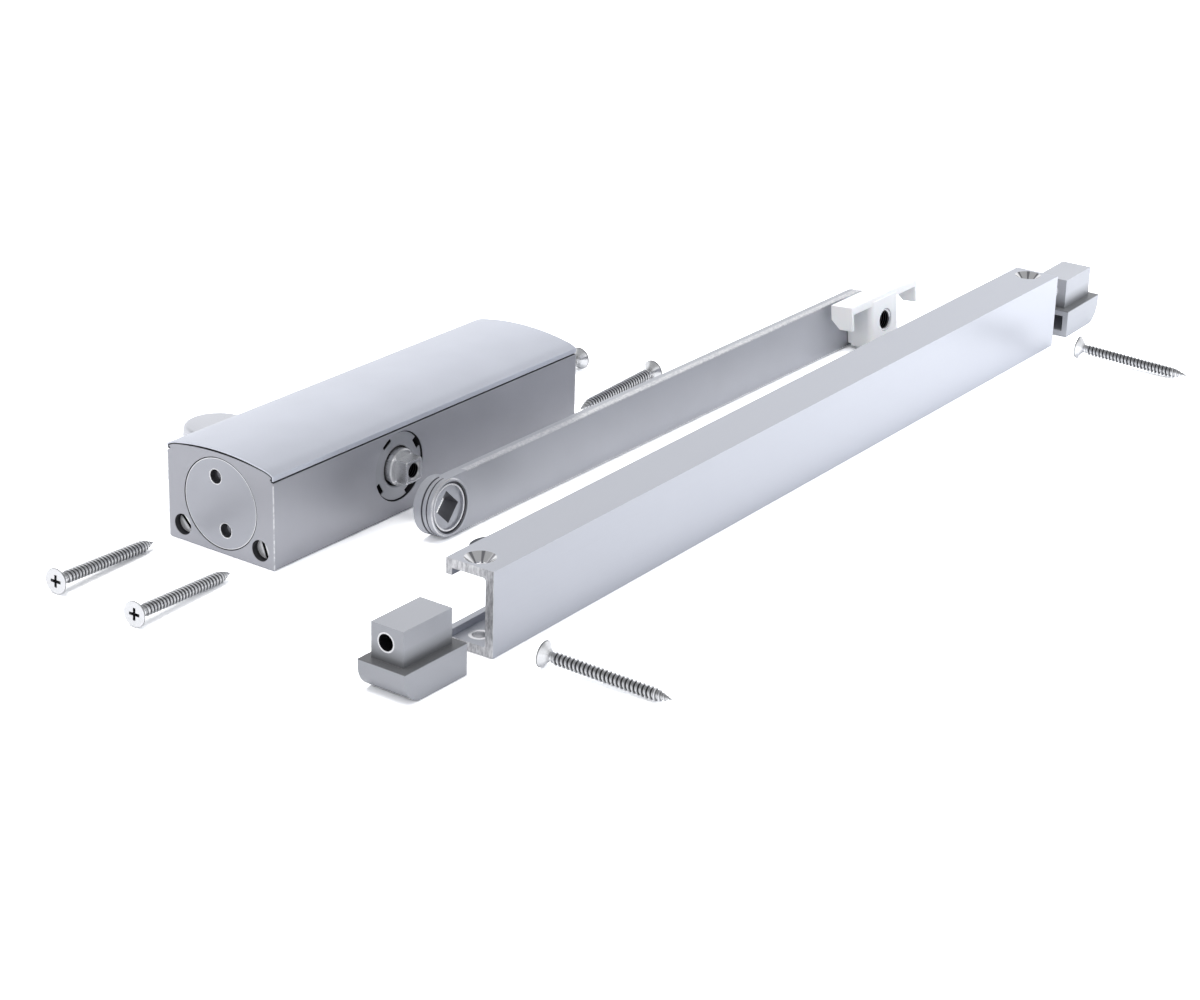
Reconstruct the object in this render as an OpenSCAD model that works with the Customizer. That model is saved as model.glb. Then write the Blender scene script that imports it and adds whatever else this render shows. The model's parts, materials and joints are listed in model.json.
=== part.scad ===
// Slide arm door closer, laid out as a set on a table: the closer body lies on its mounting face, the arm
// lies on its edge beside it, then the slide track with an end cap standing at each end, and the loose
// screws and caps. Millimetres. X runs along the body towards its spring end, Z is up, and the origin is
// the centre of the body's mounting face.

/* [Housing] */
// Length of the housing
body_l = 175; // [165:1:200]
// Width of the housing, along the spindle
body_w = 50.6; // [49:0.2:56]
// Height of the casting's straight sides
side_h = 33.3; // [32.4:0.1:36]
// Height of the piston bore's axis above the mounting face
bore_z = 19; // [18.6:0.1:20]
// Radius of the piston bore
bore_r = 15; // [14.6:0.1:15.4]
// Distance of the spindle's axis from the near end face
spindle_in = 67.8; // [62:0.2:72]

/* [Cover] */
// Thickness of the slide-on cover's sheet
cover_t = 0.8; // [0.6:0.1:1.2]
// Height of the open joint between the casting's sides and the cover's lips
lip_joint = 0.6; // [0.3:0.1:0.8]
// Height of the cover's side edges above the casting's straight sides
cover_edge = 2.45; // [2.2:0.05:3]
// Rise of the cover from its side edges to its middle
cover_rise = 3.75; // [3.2:0.05:5]
// Radius of the cover's rounded shoulders
shoulder_r = 14; // [10:0.5:16]
// Slope of the shoulders at the cover's side edges
shoulder_slope = 30.4; // [26:0.2:34]

/* [End plugs] */
// Radius of the end plugs' flanges
plug_r = 17.1; // [16.6:0.1:17.3]
// Thickness of the end plugs' flanges
plug_flange = 8; // [6:0.5:10]
// Length of the end plugs' spigots inside the bore
plug_spigot = 5.5; // [5:0.5:8]
// Distance of each pin spanner hole from the plug's centre
pin_hole_at = 10; // [8:0.5:12]
// Angle of the line through the pin spanner holes, from upright
pin_hole_angle = 12.6; // [0:0.6:45]

/* [Valves] */
// Distance of each valve's axis from the housing's side
valve_in = 6.65; // [6.1:0.05:7.1]
// Height of the valves above the mounting face
valve_z = 6.1; // [5.6:0.1:6.4]
// Radius of a valve's slotted head
valve_head_r = 3.6; // [3:0.1:3.7]
// Depth of the valve bores
valve_depth = 27; // [24:0.5:28]
// How far the valves' heads lie inside the end face
valve_recess = 2.4; // [0.6:0.1:3.4]
// Turn of the sweep valve's slot from level
sweep_slot = 45; // [0:5:90]
// Turn of the latch valve's slot from level
latch_slot = 70; // [0:5:90]

/* [Fixing holes] */
// Radius of the holes for the fixing screws
fix_hole_r = 2.6; // [2.5:0.05:2.8]
// Distance between the body's fixing holes, along the body
fix_pitch_x = 120; // [112:1:124]
// Distance between the body's fixing holes, across the body
fix_pitch_y = 39.2; // [38.8:0.1:39.6]
// Distance of the near fixing holes from the near end face
fix_in = 35.5; // [34.5:0.1:37]
// Depth of the screw seats below the top of the straight sides
fix_seat = 3.4; // [2.5:0.1:5]

/* [Spindle and rack] */
// Width across the flats of the spindle's square ends
square_w = 8.6; // [8:0.1:9.2]
// How far the square ends stand out of the housing
square_out = 7.1; // [5:0.1:9]
// Radius of the spindle's journals
journal_r = 7.05; // [6.8:0.05:7.2]
// How far the journals stand out of the housing
journal_out = 1.8; // [0.6:0.1:2.6]
// Module of the rack and pinion
tooth_module = 1.5; // [1.45:0.01:1.55]
// Teeth on the pinion
tooth_count = 10; // [10, 11]
// Pressure angle of the teeth
tooth_angle = 25; // [24:0.5:26]
// Half length of the pinion
pinion_half = 11.8; // [10:0.1:12]
// Turn of the spindle from closed to fully open
open_angle = 170; // [120:5:175]
// Depth of the seats for the bearing nuts
nut_t = 4; // [3.6:0.1:4.4]
// How far the bearing nuts lie inside the housing's sides
nut_in = 0.6; // [0:0.1:1]
// Radius of the bearing nuts
nut_r = 13; // [12.6:0.1:13.2]

/* [Springs] */
// Wire radius of the outer spring
outer_wire_r = 1.9; // [1.6:0.1:2]
// Wire radius of the inner spring
inner_wire_r = 1.2; // [1:0.1:1.3]
// Length of the piston's solid head
piston_head = 16; // [14:0.5:18]
// Length of the piston's solid tail
piston_tail = 10; // [8:0.5:12]

/* [Arm] */
// Distance from the hub's axis to the slider's pivot
arm_l = 279.5; // [240:0.5:320]
// Radius of the arm's hub
hub_r = 11; // [10.6:0.1:12.4]
// Length of the hub along its axis
hub_l = 8.4; // [7.6:0.1:10]
// Thickness of the flange at the front of the hub
hub_flange = 2; // [1.4:0.1:2.6]
// Radius of the recess in the hub's face
recess_r = 8.2; // [7.8:0.1:8.6]
// Depth of the recess in the hub's face
recess_d = 1.6; // [1.2:0.1:2.4]
// Height of the arm's bar
bar_h = 21.8; // [20:0.2:22]
// Thickness of the arm's bar
bar_t = 5.4; // [4:0.1:6]

/* [Track] */
// Length of the slide track
track_l = 400; // [380:5:430]
// Height of the track across its flanges
track_h = 31.5; // [31:0.1:34]
// Depth of the track from its slot to its web
track_d = 19.8; // [19.4:0.1:22]
// Thickness of the track's web and flanges
track_wall = 3.3; // [2.4:0.1:3.5]
// Thickness of the lips beside the slot
lip_t = 2.6; // [2:0.1:3]
// Height of each lip beside the slot
lip_h = 5.9; // [5:0.1:6.4]
// Distance of the track's screw holes from its ends
track_hole_in = 7; // [6.4:0.1:8]

/* [End caps] */
// Thickness of an end cap's head
cap_head = 11.6; // [10.5:0.1:14]
// Length of the plug that goes into the track
cap_plug = 12.8; // [12:0.1:16]
// Radius of the rounded edge on an end cap's head
cap_round = 9; // [6:0.5:10]

/* [Slider] */
// Half length of the slider's guide wings
wing_half = 26.6; // [22:0.2:32]
// Reach of the slider from the arm's face
slider_reach = 13.4; // [12.6:0.1:15.5]
// Radius of the slider's pivot pin
pin_r = 4.3; // [4:0.1:4.6]

/* [Loose screws and caps] */
// Length of the fixing screws
screw_l = 50; // [40:1:55]
// Radius of the fixing screws' heads
screw_head_r = 4.7; // [4.3:0.1:4.8]
// Radius of the fixing screws over their threads
screw_r = 2.4; // [2:0.05:2.45]
// Radius of the round cover for the spare spindle end, at its top
spindle_cap_r = 13; // [12.6:0.1:16]
// Height of the round cover for the spare spindle end
spindle_cap_h = 11.6; // [10:0.2:14]

/* [Layout on the table] */
// Gap between the housing's side and the front of the arm's hub
arm_gap = 28.2; // [24:0.1:34]
// Lean of the arm, which lies with its front turned a little upwards
arm_tilt = 5; // [0:0.5:6]
// Gap between the front of the arm's hub and the track
track_gap = 54.9; // [50:0.1:60]
// How far the track's near end stands out past the housing's near end
track_ahead = 7.5; // [0:0.1:12]
// Turn of the track on the table
track_yaw = 1.06; // [0:0.02:1.4]
// Gap between the track's ends and the end caps
cap_gap = 14.1; // [8:0.1:20]
// Distance of the spindle cap's middle from the housing's side
spindle_cap_away = 42.7; // [38:0.1:50]
// Distance of the hub cap's middle from the front of the arm's hub
hub_cap_away = 21.4; // [19:0.1:26]
// Distance of the arm screw from the track's near end
arm_screw_at = 132; // [60:1:240]
// Distance of the arm screw from the track's slot side
arm_screw_away = 17.5; // [15:0.1:24]

/* [Hidden] */
$fn = 64;

// Clearances
eps = 0.01;            // overshoot of cuts that break through a face
run_fit = 0.05;        // radial clearance of a running fit
thread_r = 2.75;       // mean radius of the spindle's threaded holes
pin_thread_r = 3.6;    // mean radius of the slider pin's threaded hole
thread_sink = 0.6;     // countersink of the threaded holes
seat_gap = 0.1;        // clearance of a part that is seated and stays put
joint_gap = 0.3;       // gap at a joint that moves
plug_gap = 0.3;        // gap round the end plugs' flanges
nut_gap = 0.4;         // gap round the bearing nuts
crown_gap = 0.5;       // gap between the crown's middle and the cover

// Places along the body
near_x = -body_l / 2;
far_x = body_l / 2;
spindle_x = near_x + spindle_in;
side_y = body_w / 2;

// Cover, and the crown of the casting under it. The shoulders turn about the same two lines
shoulder_y = side_y - shoulder_r * sin(shoulder_slope);
shoulder_z = side_h + cover_edge - shoulder_r * cos(shoulder_slope);
cover_top = side_h + cover_edge + cover_rise;
crown_top = cover_top - cover_t - crown_gap;
crown_half = side_y - cover_t - 2 * seat_gap;
arc_blend = 0.02;
bead_h = 0.5;
bead_out = 0.5;
bead_z = side_h + lip_joint + seat_gap;

// Rack and pinion
pitch_r = tooth_module * tooth_count / 2;
addendum = 0.8 * tooth_module;
dedendum = tooth_module;
backlash = 0.15;
base_r = pitch_r * cos(tooth_angle);
pinion_r = pitch_r + addendum;
root_r = pitch_r - dedendum;
tooth_pitch = PI * tooth_module;
travel = pitch_r * open_angle * PI / 180;

// Piston, measured from the spindle's axis
window_gap = 0.8;
window_x0 = spindle_x - pinion_r - window_gap - travel;
window_x1 = spindle_x + pinion_r + window_gap;
window_floor = pinion_r + 0.6;
relief_h = journal_r + 0.45;
piston_r = bore_r - run_fit;
piston_x0 = window_x0 - piston_head;
piston_x1 = window_x1 + piston_tail;

// End plugs
plug_seat_r = plug_r + plug_gap;
spigot_r = bore_r - seat_gap;
plug_len = plug_flange + plug_spigot;
o_ring_r = 0.95;
o_ring_depth = 2 * o_ring_r - 0.05;
o_ring_width = 2 * o_ring_r + 0.5;
pin_hole_r = 2.6;
pin_hole_d = 3.2;

// Valves
valve_y = side_y - valve_in;
valve_bore_r = valve_head_r - 1;
valve_seat = 6;
valve_slot_d = 1.6;
valve_slot_w = 1.3;

// Spindle bearings, measured along Y from the housing's side
bearing_r = 11;
nut_seat_r = nut_r + nut_gap;
seal_t = 2.2;
seal_y1 = side_y - nut_t - seat_gap;
bearing_y1 = seal_y1 - seal_t - seat_gap;
bearing_y0 = bore_r + 0.8;
needle_r = 1.3;
needle_count = 16;
needle_ring = journal_r + run_fit + needle_r;
cup_wall = bearing_r - needle_ring - needle_r - run_fit;
notch_turn = 31;
notch_w = 4.6;
notch_d = 2;

// Fixing holes in the body
fix_x0 = near_x + fix_in;
fix_x1 = fix_x0 + fix_pitch_x;
fix_y = fix_pitch_y / 2;
screw_seat_r = screw_head_r + 0.2;
fix_seat_z = side_h - fix_seat;

// Springs
outer_coil_r = bore_r - 0.7 - outer_wire_r;
inner_coil_r = outer_coil_r - outer_wire_r - 1.1 - inner_wire_r;
spring_x0 = piston_x1 + seat_gap;
spring_x1 = far_x - plug_len - seat_gap;
spring_short = spring_x1 - spring_x0 - travel;
close_gap = 0.45;
outer_turns = floor(spring_short / (2 * outer_wire_r)) - 2;
inner_turns = floor(spring_short / (2 * inner_wire_r)) - 3;
outer_sides = 8;
outer_rings = 12;
inner_sides = 6;
inner_rings = 10;

// Arm in its own frame: y = 0 at the hub's front, the hub's axis along Y, the pivot at x = arm_l
hub_proud = 0.5;
bar_back = hub_proud + bar_t;
arm_front_y = -side_y - arm_gap;
hub_x = spindle_x - 4.9;
hub_z = max(hub_r * cos(arm_tilt) + hub_l * sin(arm_tilt), bar_h / 2 * cos(arm_tilt) + bar_back * sin(arm_tilt));
square_hole_w = square_w + 0.2;
groove_w = 0.7;
groove_d = 0.6;
ring_w = 1.5;
lip_r = recess_r + 0.6;
rim_r = recess_r + 1.5;
pin_collar_r = pin_r + 0.5;
pin_collar_t = 1.2;
pin_head_r = 6.2;
pin_head_t = 1.2;

// Track in its own frame: x along it, y = 0 at the slot side, z across the flanges
track_x = near_x - track_ahead;
track_y = arm_front_y - track_gap;
channel_h = track_h - 2 * track_wall;
channel_d = track_d - track_wall - lip_t;
track_hole_y = -9;
sink_r = 5.4;
track_far_x = track_x + track_l * cos(track_yaw);
track_far_y = track_y + track_l * sin(track_yaw);

// Slider, measured from its pivot: x along it, z across it, d from the arm's face
slider_slack = 0.75;
slider_half = channel_h / 2 - slider_slack;
neck_half = track_h / 2 - track_wall - lip_h + track_wall - 0.3;
neck_end = lip_t + 0.4;
block_half_x = 11.3;
block_half_z = 10;
wing_floor = 8.4;
wing_end_floor = 1.5;
wing_end_t = 1.6;

// End caps in their own frame: x = 0 on the rounded side, y = 0 at the slot side
cap_l = track_h;
cap_w = track_d;
plug_len_x = channel_h - 0.4;
plug_w = channel_d - 0.4;
cap_ledge_x = (cap_l - plug_len_x) / 2;
cap_ledge_y = lip_t + 0.2;
cap_bore_r = 2.9;
pocket_wall = 2.4;
near_cap_x = track_x - cap_gap - cap_l;
near_cap_y = track_y - 0.8;
far_cap_x = track_far_x + cap_gap - 1.1;
far_cap_y = track_far_y + 0.4;
far_cap_yaw = 2.8;

// Loose pieces
screw_point = 5;
screw_tilt = atan((screw_head_r - screw_r) / (screw_l - screw_point));
// Screws beside the body: which end, gap from that end, y, and the way each points
body_screws = [[-1, 11.6, 19.5, 2.7], [-1, 13.8, -20.1, 3.1], [1, 18.4, -14.8, 179.6], [1, 11.4, 17.7, 180]];
cap_wall = 1.3;
spindle_cap_x = spindle_x + 2.7;
spindle_cap_y = side_y + spindle_cap_away;
hub_cap_r = recess_r + 1;
hub_cap_t = 2.4;
hub_cap_x = hub_x - 2.2;
hub_cap_y = arm_front_y - hub_cap_away;
arm_screw_r = 2.9;
arm_screw_l = 14;
flange_r = recess_r - 0.4;
flange_t = 1.6;

// Round bar along X from x0 to x1, and along Y from y0 to y1
module bar_x(r, x0, x1) translate([x0, 0, 0]) rotate([0, 90, 0]) cylinder(r = r, h = x1 - x0);
module bar_y(r, y0, y1) translate([0, y0, 0]) rotate([-90, 0, 0]) cylinder(r = r, h = y1 - y0);

// A flat outline in Y and Z carried along X, and one in X and Z carried along Y
module run_x(x0, x1) translate([x0, 0, 0]) rotate([90, 0, 90]) linear_extrude(x1 - x0) children();
module run_y(y0, y1) translate([0, y1, 0]) rotate([90, 0, 0]) linear_extrude(y1 - y0) children();

// A radius and height outline turned round the X axis, starting at x0
module turn_x(x0) translate([x0, 0, 0]) rotate([0, 90, 0]) rotate_extrude() children();

// Both places of something that stands the same way on the front and the back of the spindle
module at_side(side) translate([spindle_x, 0, bore_z]) rotate([0, 0, side > 0 ? 0 : 180]) children();

// Area under an arch that reaches half to each side and stands from low up to top: one wide arc in the
// middle that runs smoothly into a rounded shoulder on each side
module arch_outline(half, low, top, shoulder) {
    rise = top - shoulder_z;
    arc = (shoulder_y * shoulder_y + rise * rise - shoulder * shoulder) / (2 * (rise - shoulder));
    meet_y = shoulder_y * arc / (arc - shoulder);
    intersection() {
        translate([-half, low]) square([2 * half, top]);
        union() {
            intersection() {
                translate([0, top - arc]) circle(r = arc, $fn = 360);
                translate([-meet_y, low - 1]) square([2 * meet_y, top]);
            }
            for (s = [-1, 1]) translate([s * shoulder_y, shoulder_z]) circle(r = shoulder + arc_blend, $fn = 180);
        }
    }
}

// Outline of the casting: straight sides with eased corners, and a crowned top set in under the cover
module casting_outline() {
    ease = 0.6;
    top_ease = 0.3;
    polygon([[-side_y + ease, 0], [side_y - ease, 0], [side_y, ease], [side_y, side_h - top_ease],
             [side_y - top_ease, side_h], [-side_y + top_ease, side_h], [-side_y, side_h - top_ease],
             [-side_y, ease]]);
    difference() {
        arch_outline(crown_half, side_h - 1, crown_top, shoulder_r - cover_t - 2 * seat_gap);
        for (s = [-1, 1]) translate([s * crown_half - bead_out, bead_z - seat_gap])
            square([2 * bead_out, bead_h + 2 * seat_gap]);
    }
}

// Outline of the cover: an arched sheet with short side lips and a bead inside each lip
module cover_outline() {
    lip_z = side_h + lip_joint;
    inside_y = side_y - cover_t;
    difference() {
        arch_outline(side_y, lip_z, cover_top, shoulder_r);
        arch_outline(inside_y, lip_z - 1, cover_top - cover_t, shoulder_r - cover_t);
    }
    for (s = [-1, 1]) translate([s * (inside_y - bead_out / 2) - bead_out / 2, bead_z])
        square([bead_out, bead_h]);
}

module housing() color("#9a9ea9") difference() {
    run_x(near_x, far_x) casting_outline();
    translate([0, 0, bore_z]) {
        bar_x(bore_r, near_x - eps, far_x + eps);
        bar_x(plug_seat_r, near_x - 1, near_x + plug_flange + 2 * seat_gap);
        bar_x(plug_seat_r, far_x - plug_flange - 2 * seat_gap, far_x + 1);
    }
    for (side = [-1, 1]) at_side(side) {
        bar_y(pinion_r + 0.4, 0, side_y);
        bar_y(bearing_r + seat_gap / 2, bearing_y0 - seat_gap, side_y);
        bar_y(nut_seat_r, side_y - nut_t, side_y + 1);
    }
    for (side = [-1, 1]) translate([0, side * valve_y, valve_z]) {
        bar_x(valve_head_r + 0.4, near_x - 1, near_x + valve_seat);
        bar_x(valve_bore_r, near_x, near_x + valve_depth);
    }
    for (x = [fix_x0, fix_x1], side = [-1, 1]) translate([x, side * fix_y, 0]) {
        translate([0, 0, -1]) cylinder(r = fix_hole_r, h = side_h);
        translate([0, 0, fix_seat_z - screw_seat_r + fix_hole_r])
            cylinder(r1 = fix_hole_r, r2 = screw_seat_r, h = screw_seat_r - fix_hole_r);
        translate([0, 0, fix_seat_z - eps]) cylinder(r = screw_seat_r, h = crown_top);
    }
}

module cover() color("#c6cad5") run_x(near_x, far_x) cover_outline();

// End plug at the origin, its outer face towards -X
module end_plug() difference() {
    union() {
        bar_x(plug_r, 0, plug_flange);
        bar_x(spigot_r, 0, plug_len);
    }
    turn_x(plug_flange + (plug_spigot - o_ring_width) / 2)
        translate([spigot_r - o_ring_depth, 0]) square([2 * o_ring_depth, o_ring_width]);
    for (side = [-1, 1]) rotate([side > 0 ? -pin_hole_angle : 180 - pin_hole_angle, 0, 0])
        translate([0, 0, pin_hole_at]) {
            bar_x(pin_hole_r, -1, pin_hole_d);
            bar_x(pin_hole_r / 2, 0, pin_hole_d + 1.5);
        }
}

module near_end_plug() color("#a9adb6") translate([near_x + seat_gap, 0, bore_z]) end_plug();
module far_end_plug() color("#a9adb6") translate([far_x - seat_gap, 0, bore_z]) mirror([1, 0, 0]) end_plug();

module plug_seal(x) translate([x, 0, bore_z])
    turn_x(0) translate([bore_r - 0.02 - o_ring_r, 0]) circle(r = o_ring_r, $fn = 24);

module near_plug_seal() color("#2a2a2c") plug_seal(near_x + seat_gap + plug_flange + plug_spigot / 2);
module far_plug_seal() color("#2a2a2c") plug_seal(far_x - seat_gap - plug_flange - plug_spigot / 2);

// Bearing nut with four spanner notches in its rim
module bearing_nut(side) at_side(side) difference() {
    face = side_y - nut_in;
    bar_y(nut_r, side_y - nut_t + seat_gap, face);
    bar_y(journal_r + 0.3, side_y - nut_t, side_y + 1);
    translate([0, face + eps, 0]) rotate([90, 0, 0])
        cylinder(r1 = journal_r + 1, r2 = journal_r + 0.2, h = 0.8);
    for (a = [0:90:270]) rotate([0, notch_turn + a, 0])
        translate([nut_r - notch_d, side_y - nut_t - 1, -notch_w / 2]) cube([nut_r, nut_t + 2, notch_w]);
}

module front_bearing_nut() color("#8f929b") bearing_nut(-1);
module back_bearing_nut() color("#8f929b") bearing_nut(1);

// Drawn cup with a ring of loose needles
module needle_bearing(side) at_side(side) {
    difference() {
        bar_y(bearing_r, bearing_y0, bearing_y1);
        bar_y(bearing_r - cup_wall, bearing_y0 - 1, bearing_y1 + 1);
    }
    for (i = [0:needle_count - 1]) rotate([0, i * 360 / needle_count, 0]) translate([needle_ring, 0, 0])
        bar_y(needle_r, bearing_y0 + seat_gap, bearing_y1 - seat_gap, $fn = 24);
}

module front_bearing() color("#b9bcc2") needle_bearing(-1);
module back_bearing() color("#b9bcc2") needle_bearing(1);

// Lip seal between the bearing and its nut, with a groove on its inner side
module spindle_seal(side) at_side(side) difference() {
    bar_y(bearing_r, seal_y1 - seal_t, seal_y1);
    bar_y(journal_r + run_fit, seal_y1 - seal_t - 1, seal_y1 + 1);
    difference() {
        bar_y(bearing_r - 1.2, seal_y1 - seal_t - 1, seal_y1 - seal_t / 2);
        bar_y(journal_r + 1, seal_y1 - seal_t - 2, seal_y1);
    }
}

module front_spindle_seal() color("#2a2a2c") spindle_seal(-1);
module back_spindle_seal() color("#2a2a2c") spindle_seal(1);

// Involute of the base circle, in degrees, and half of a tooth's width at radius r, in degrees
function involute(a) = tan(a) * 180 / PI - a;
function tooth_half(r) = (tooth_pitch / 2 - backlash) / (2 * pitch_r) * 180 / PI + involute(tooth_angle)
    - (r > base_r ? involute(acos(base_r / r)) : 0);

// Outline of the pinion, with one tooth straight up
module pinion_outline() {
    steps = 6;
    radii = [root_r, for (i = [0:steps]) base_r + (pinion_r - base_r) * i / steps];
    flank = len(radii) - 1;
    circle(r = root_r + eps);
    polygon([for (k = [0:tooth_count - 1]) let (mid = 90 + k * 360 / tooth_count) each concat(
        [for (i = [0:flank]) radii[i] * [cos(mid - tooth_half(radii[i])), sin(mid - tooth_half(radii[i]))]],
        [for (i = [flank:-1:0]) radii[i] * [cos(mid + tooth_half(radii[i])), sin(mid + tooth_half(radii[i]))]])]);
}

// Spindle: pinion in the middle, round journals, and a square end with a threaded hole on each side
module spindle() color("#b4b7bd") translate([spindle_x, 0, bore_z]) {
    chamfer = 0.5;
    corner_r = 0.7 * square_w;
    journal_end = side_y + journal_out;
    out = side_y + square_out;
    run_y(-pinion_half, pinion_half) pinion_outline();
    for (side = [-1, 1]) rotate([0, 0, side > 0 ? 0 : 180]) difference() {
        union() {
            bar_y(journal_r, pinion_half - eps, journal_end - chamfer);
            translate([0, journal_end - chamfer - eps, 0]) rotate([-90, 0, 0])
                cylinder(r1 = journal_r, r2 = journal_r - chamfer, h = chamfer);
            intersection() {
                translate([-square_w / 2, side_y, -square_w / 2]) cube([square_w, square_out, square_w]);
                union() {
                    bar_y(corner_r, side_y - 1, out - chamfer);
                    translate([0, out - chamfer - eps, 0]) rotate([-90, 0, 0])
                        cylinder(r1 = corner_r, r2 = corner_r - chamfer, h = chamfer + eps);
                }
            }
        }
        bar_y(thread_r, out - 13, out + 1);
        translate([0, out - thread_sink, 0]) rotate([-90, 0, 0])
            cylinder(r1 = thread_r, r2 = thread_r + thread_sink + eps, h = thread_sink + eps);
    }
}

// Opening through the piston that the pinion runs in, with the rack's teeth hanging from its top edge
module piston_window_outline() {
    half = tooth_pitch / 4;
    slope = tan(tooth_angle);
    tip = half - addendum * slope;
    foot = half + dedendum * slope;
    first = ceil((window_x0 - spindle_x + foot) / tooth_pitch - 0.5);
    last = floor((window_x1 - spindle_x - foot) / tooth_pitch - 0.5);
    polygon(concat(
        [[window_x1, pitch_r + dedendum], [window_x1, -window_floor],
         [window_x0, -window_floor], [window_x0, pitch_r + dedendum]],
        [for (k = [first:last]) let (x = spindle_x + (k + 0.5) * tooth_pitch) each
            [[x - foot, pitch_r + dedendum], [x - tip, pitch_r - addendum],
             [x + tip, pitch_r - addendum], [x + foot, pitch_r + dedendum]]]));
}

// Piston: solid head and tail joined by the rack above the pinion and a beam below it
module piston() color("#a7a9ae") translate([0, 0, bore_z]) difference() {
    bar_x(piston_r, piston_x0, piston_x1);
    run_y(-bore_r - 1, bore_r + 1) piston_window_outline();
    for (side = [-1, 1]) translate([window_x0, side > 0 ? pinion_half - 0.3 : -bore_r - 1, -window_floor])
        cube([window_x1 - window_x0, bore_r + 1 - pinion_half + 0.3, window_floor + relief_h]);
    turn_x(piston_x0 + 4) translate([piston_r - 1.8, 0]) square([4, 2.6]);
    bar_x(4, piston_x0 - 1, piston_x0 + 9);
    bar_x(1.6, piston_x0, window_x0 + 1);
}

module piston_ring() color("#3a3a3c") translate([0, 0, bore_z]) turn_x(piston_x0 + 4 + seat_gap)
    translate([piston_r - 1.7, 0]) square([1.7 + run_fit / 2, 2.6 - 2 * seat_gap]);

// Screw-in seat of the check valve, and its ball behind the seat
module check_valve_seat() color("#b59a55") translate([0, 0, bore_z]) difference() {
    bar_x(4 - run_fit, piston_x0 + 0.3, piston_x0 + 4.8);
    bar_x(1.2, piston_x0 - 1, piston_x0 + 6);
    for (s = [0, 90]) rotate([s, 0, 0]) translate([piston_x0 - 1, -3, -0.5]) cube([2.1, 6, 1]);
}

module check_valve_ball() color("#c4c6ca") translate([piston_x0 + 7, 0, bore_z]) sphere(r = 1.9);

// Points of a spring's wire: a helix about X whose end turns lie close together
function coil_x(u, turns, length, wire) =
    let (close = 2 * wire + close_gap, free = (length - 2 * wire - 2 * close) / (turns - 2))
    wire + (u < 1 ? close * u : u > turns - 1 ? length - 2 * wire - close * (turns - u) : close + free * (u - 1));
function coil_ring(u, turns, length, wire, coil, sides) =
    let (a = 360 * u, lead = (length - 2 * wire) / turns, along = [lead / (2 * PI), -coil * sin(a), coil * cos(a)],
         out = [0, cos(a), sin(a)], up = cross(along / norm(along), out))
    [for (j = [0:sides - 1]) [spring_x0 + coil_x(u, turns, length, wire), 0, bore_z] + coil * out
        + wire * (cos(360 * j / sides) * out + sin(360 * j / sides) * up)];

// One unbroken wire swept along its helix
module coil_spring(wire, coil, turns, sides, rings) {
    length = spring_x1 - spring_x0;
    count = turns * rings;
    middle = [for (i = [0:count]) coil_x(i / rings, turns, length, wire)];
    echo("least gap between turns", min([for (i = [0:count - rings]) middle[i + rings] - middle[i]]) - 2 * wire);
    polyhedron(
        points = [for (i = [0:count]) each coil_ring(i / rings, turns, length, wire, coil, sides)],
        faces = concat(
            [for (i = [0:count - 1], j = [0:sides - 1]) let (k = (j + 1) % sides)
                each [[i * sides + j, (i + 1) * sides + j, (i + 1) * sides + k],
                      [i * sides + j, (i + 1) * sides + k, i * sides + k]]],
            [for (j = [1:sides - 2]) [0, j, j + 1]],
            [for (j = [1:sides - 2]) [count * sides, count * sides + j + 1, count * sides + j]]));
}

module outer_spring() color("#6f7278") coil_spring(outer_wire_r, outer_coil_r, outer_turns, outer_sides, outer_rings);
module inner_spring() color("#7d8087") coil_spring(inner_wire_r, inner_coil_r, inner_turns, inner_sides, inner_rings);

// Regulating screw: slotted head, stem with a seal groove, and a needle point
module valve(side, slot) translate([near_x, side * valve_y, valve_z]) difference() {
    union() {
        bar_x(valve_head_r, valve_recess, valve_seat - seat_gap);
        bar_x(valve_bore_r - run_fit, valve_seat - 1, valve_depth - 8);
        translate([valve_depth - 8 - eps, 0, 0]) rotate([0, 90, 0])
            cylinder(r1 = valve_bore_r - run_fit, r2 = 0.4, h = 6);
    }
    rotate([slot, 0, 0]) translate([0, -valve_head_r - 1, -valve_slot_w / 2])
        cube([valve_recess + valve_slot_d, 2 * valve_head_r + 2, valve_slot_w]);
    turn_x(10) translate([valve_bore_r - 1.1, 0]) square([3, 1.4]);
}

module valve_seal(side) translate([near_x + 10.7, side * valve_y, valve_z]) rotate([0, 90, 0])
    rotate_extrude() translate([valve_bore_r - 0.55, 0]) circle(r = 0.5, $fn = 20);

module sweep_valve() color("#8b8e95") valve(1, sweep_slot);
module latch_valve() color("#8b8e95") valve(-1, latch_slot);
module sweep_valve_seal() color("#2a2a2c") valve_seal(1);
module latch_valve_seal() color("#2a2a2c") valve_seal(-1);

// What lies in the arm's own frame on the table
module at_arm() translate([hub_x, arm_front_y, hub_z]) rotate([-arm_tilt, 0, 0]) children();

// Side outline of the arm: a straight bar with a round end about the pivot
module bar_outline() {
    translate([0, -bar_h / 2]) square([arm_l, bar_h]);
    translate([arm_l, 0]) circle(r = bar_h / 2, $fn = 128);
}

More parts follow.
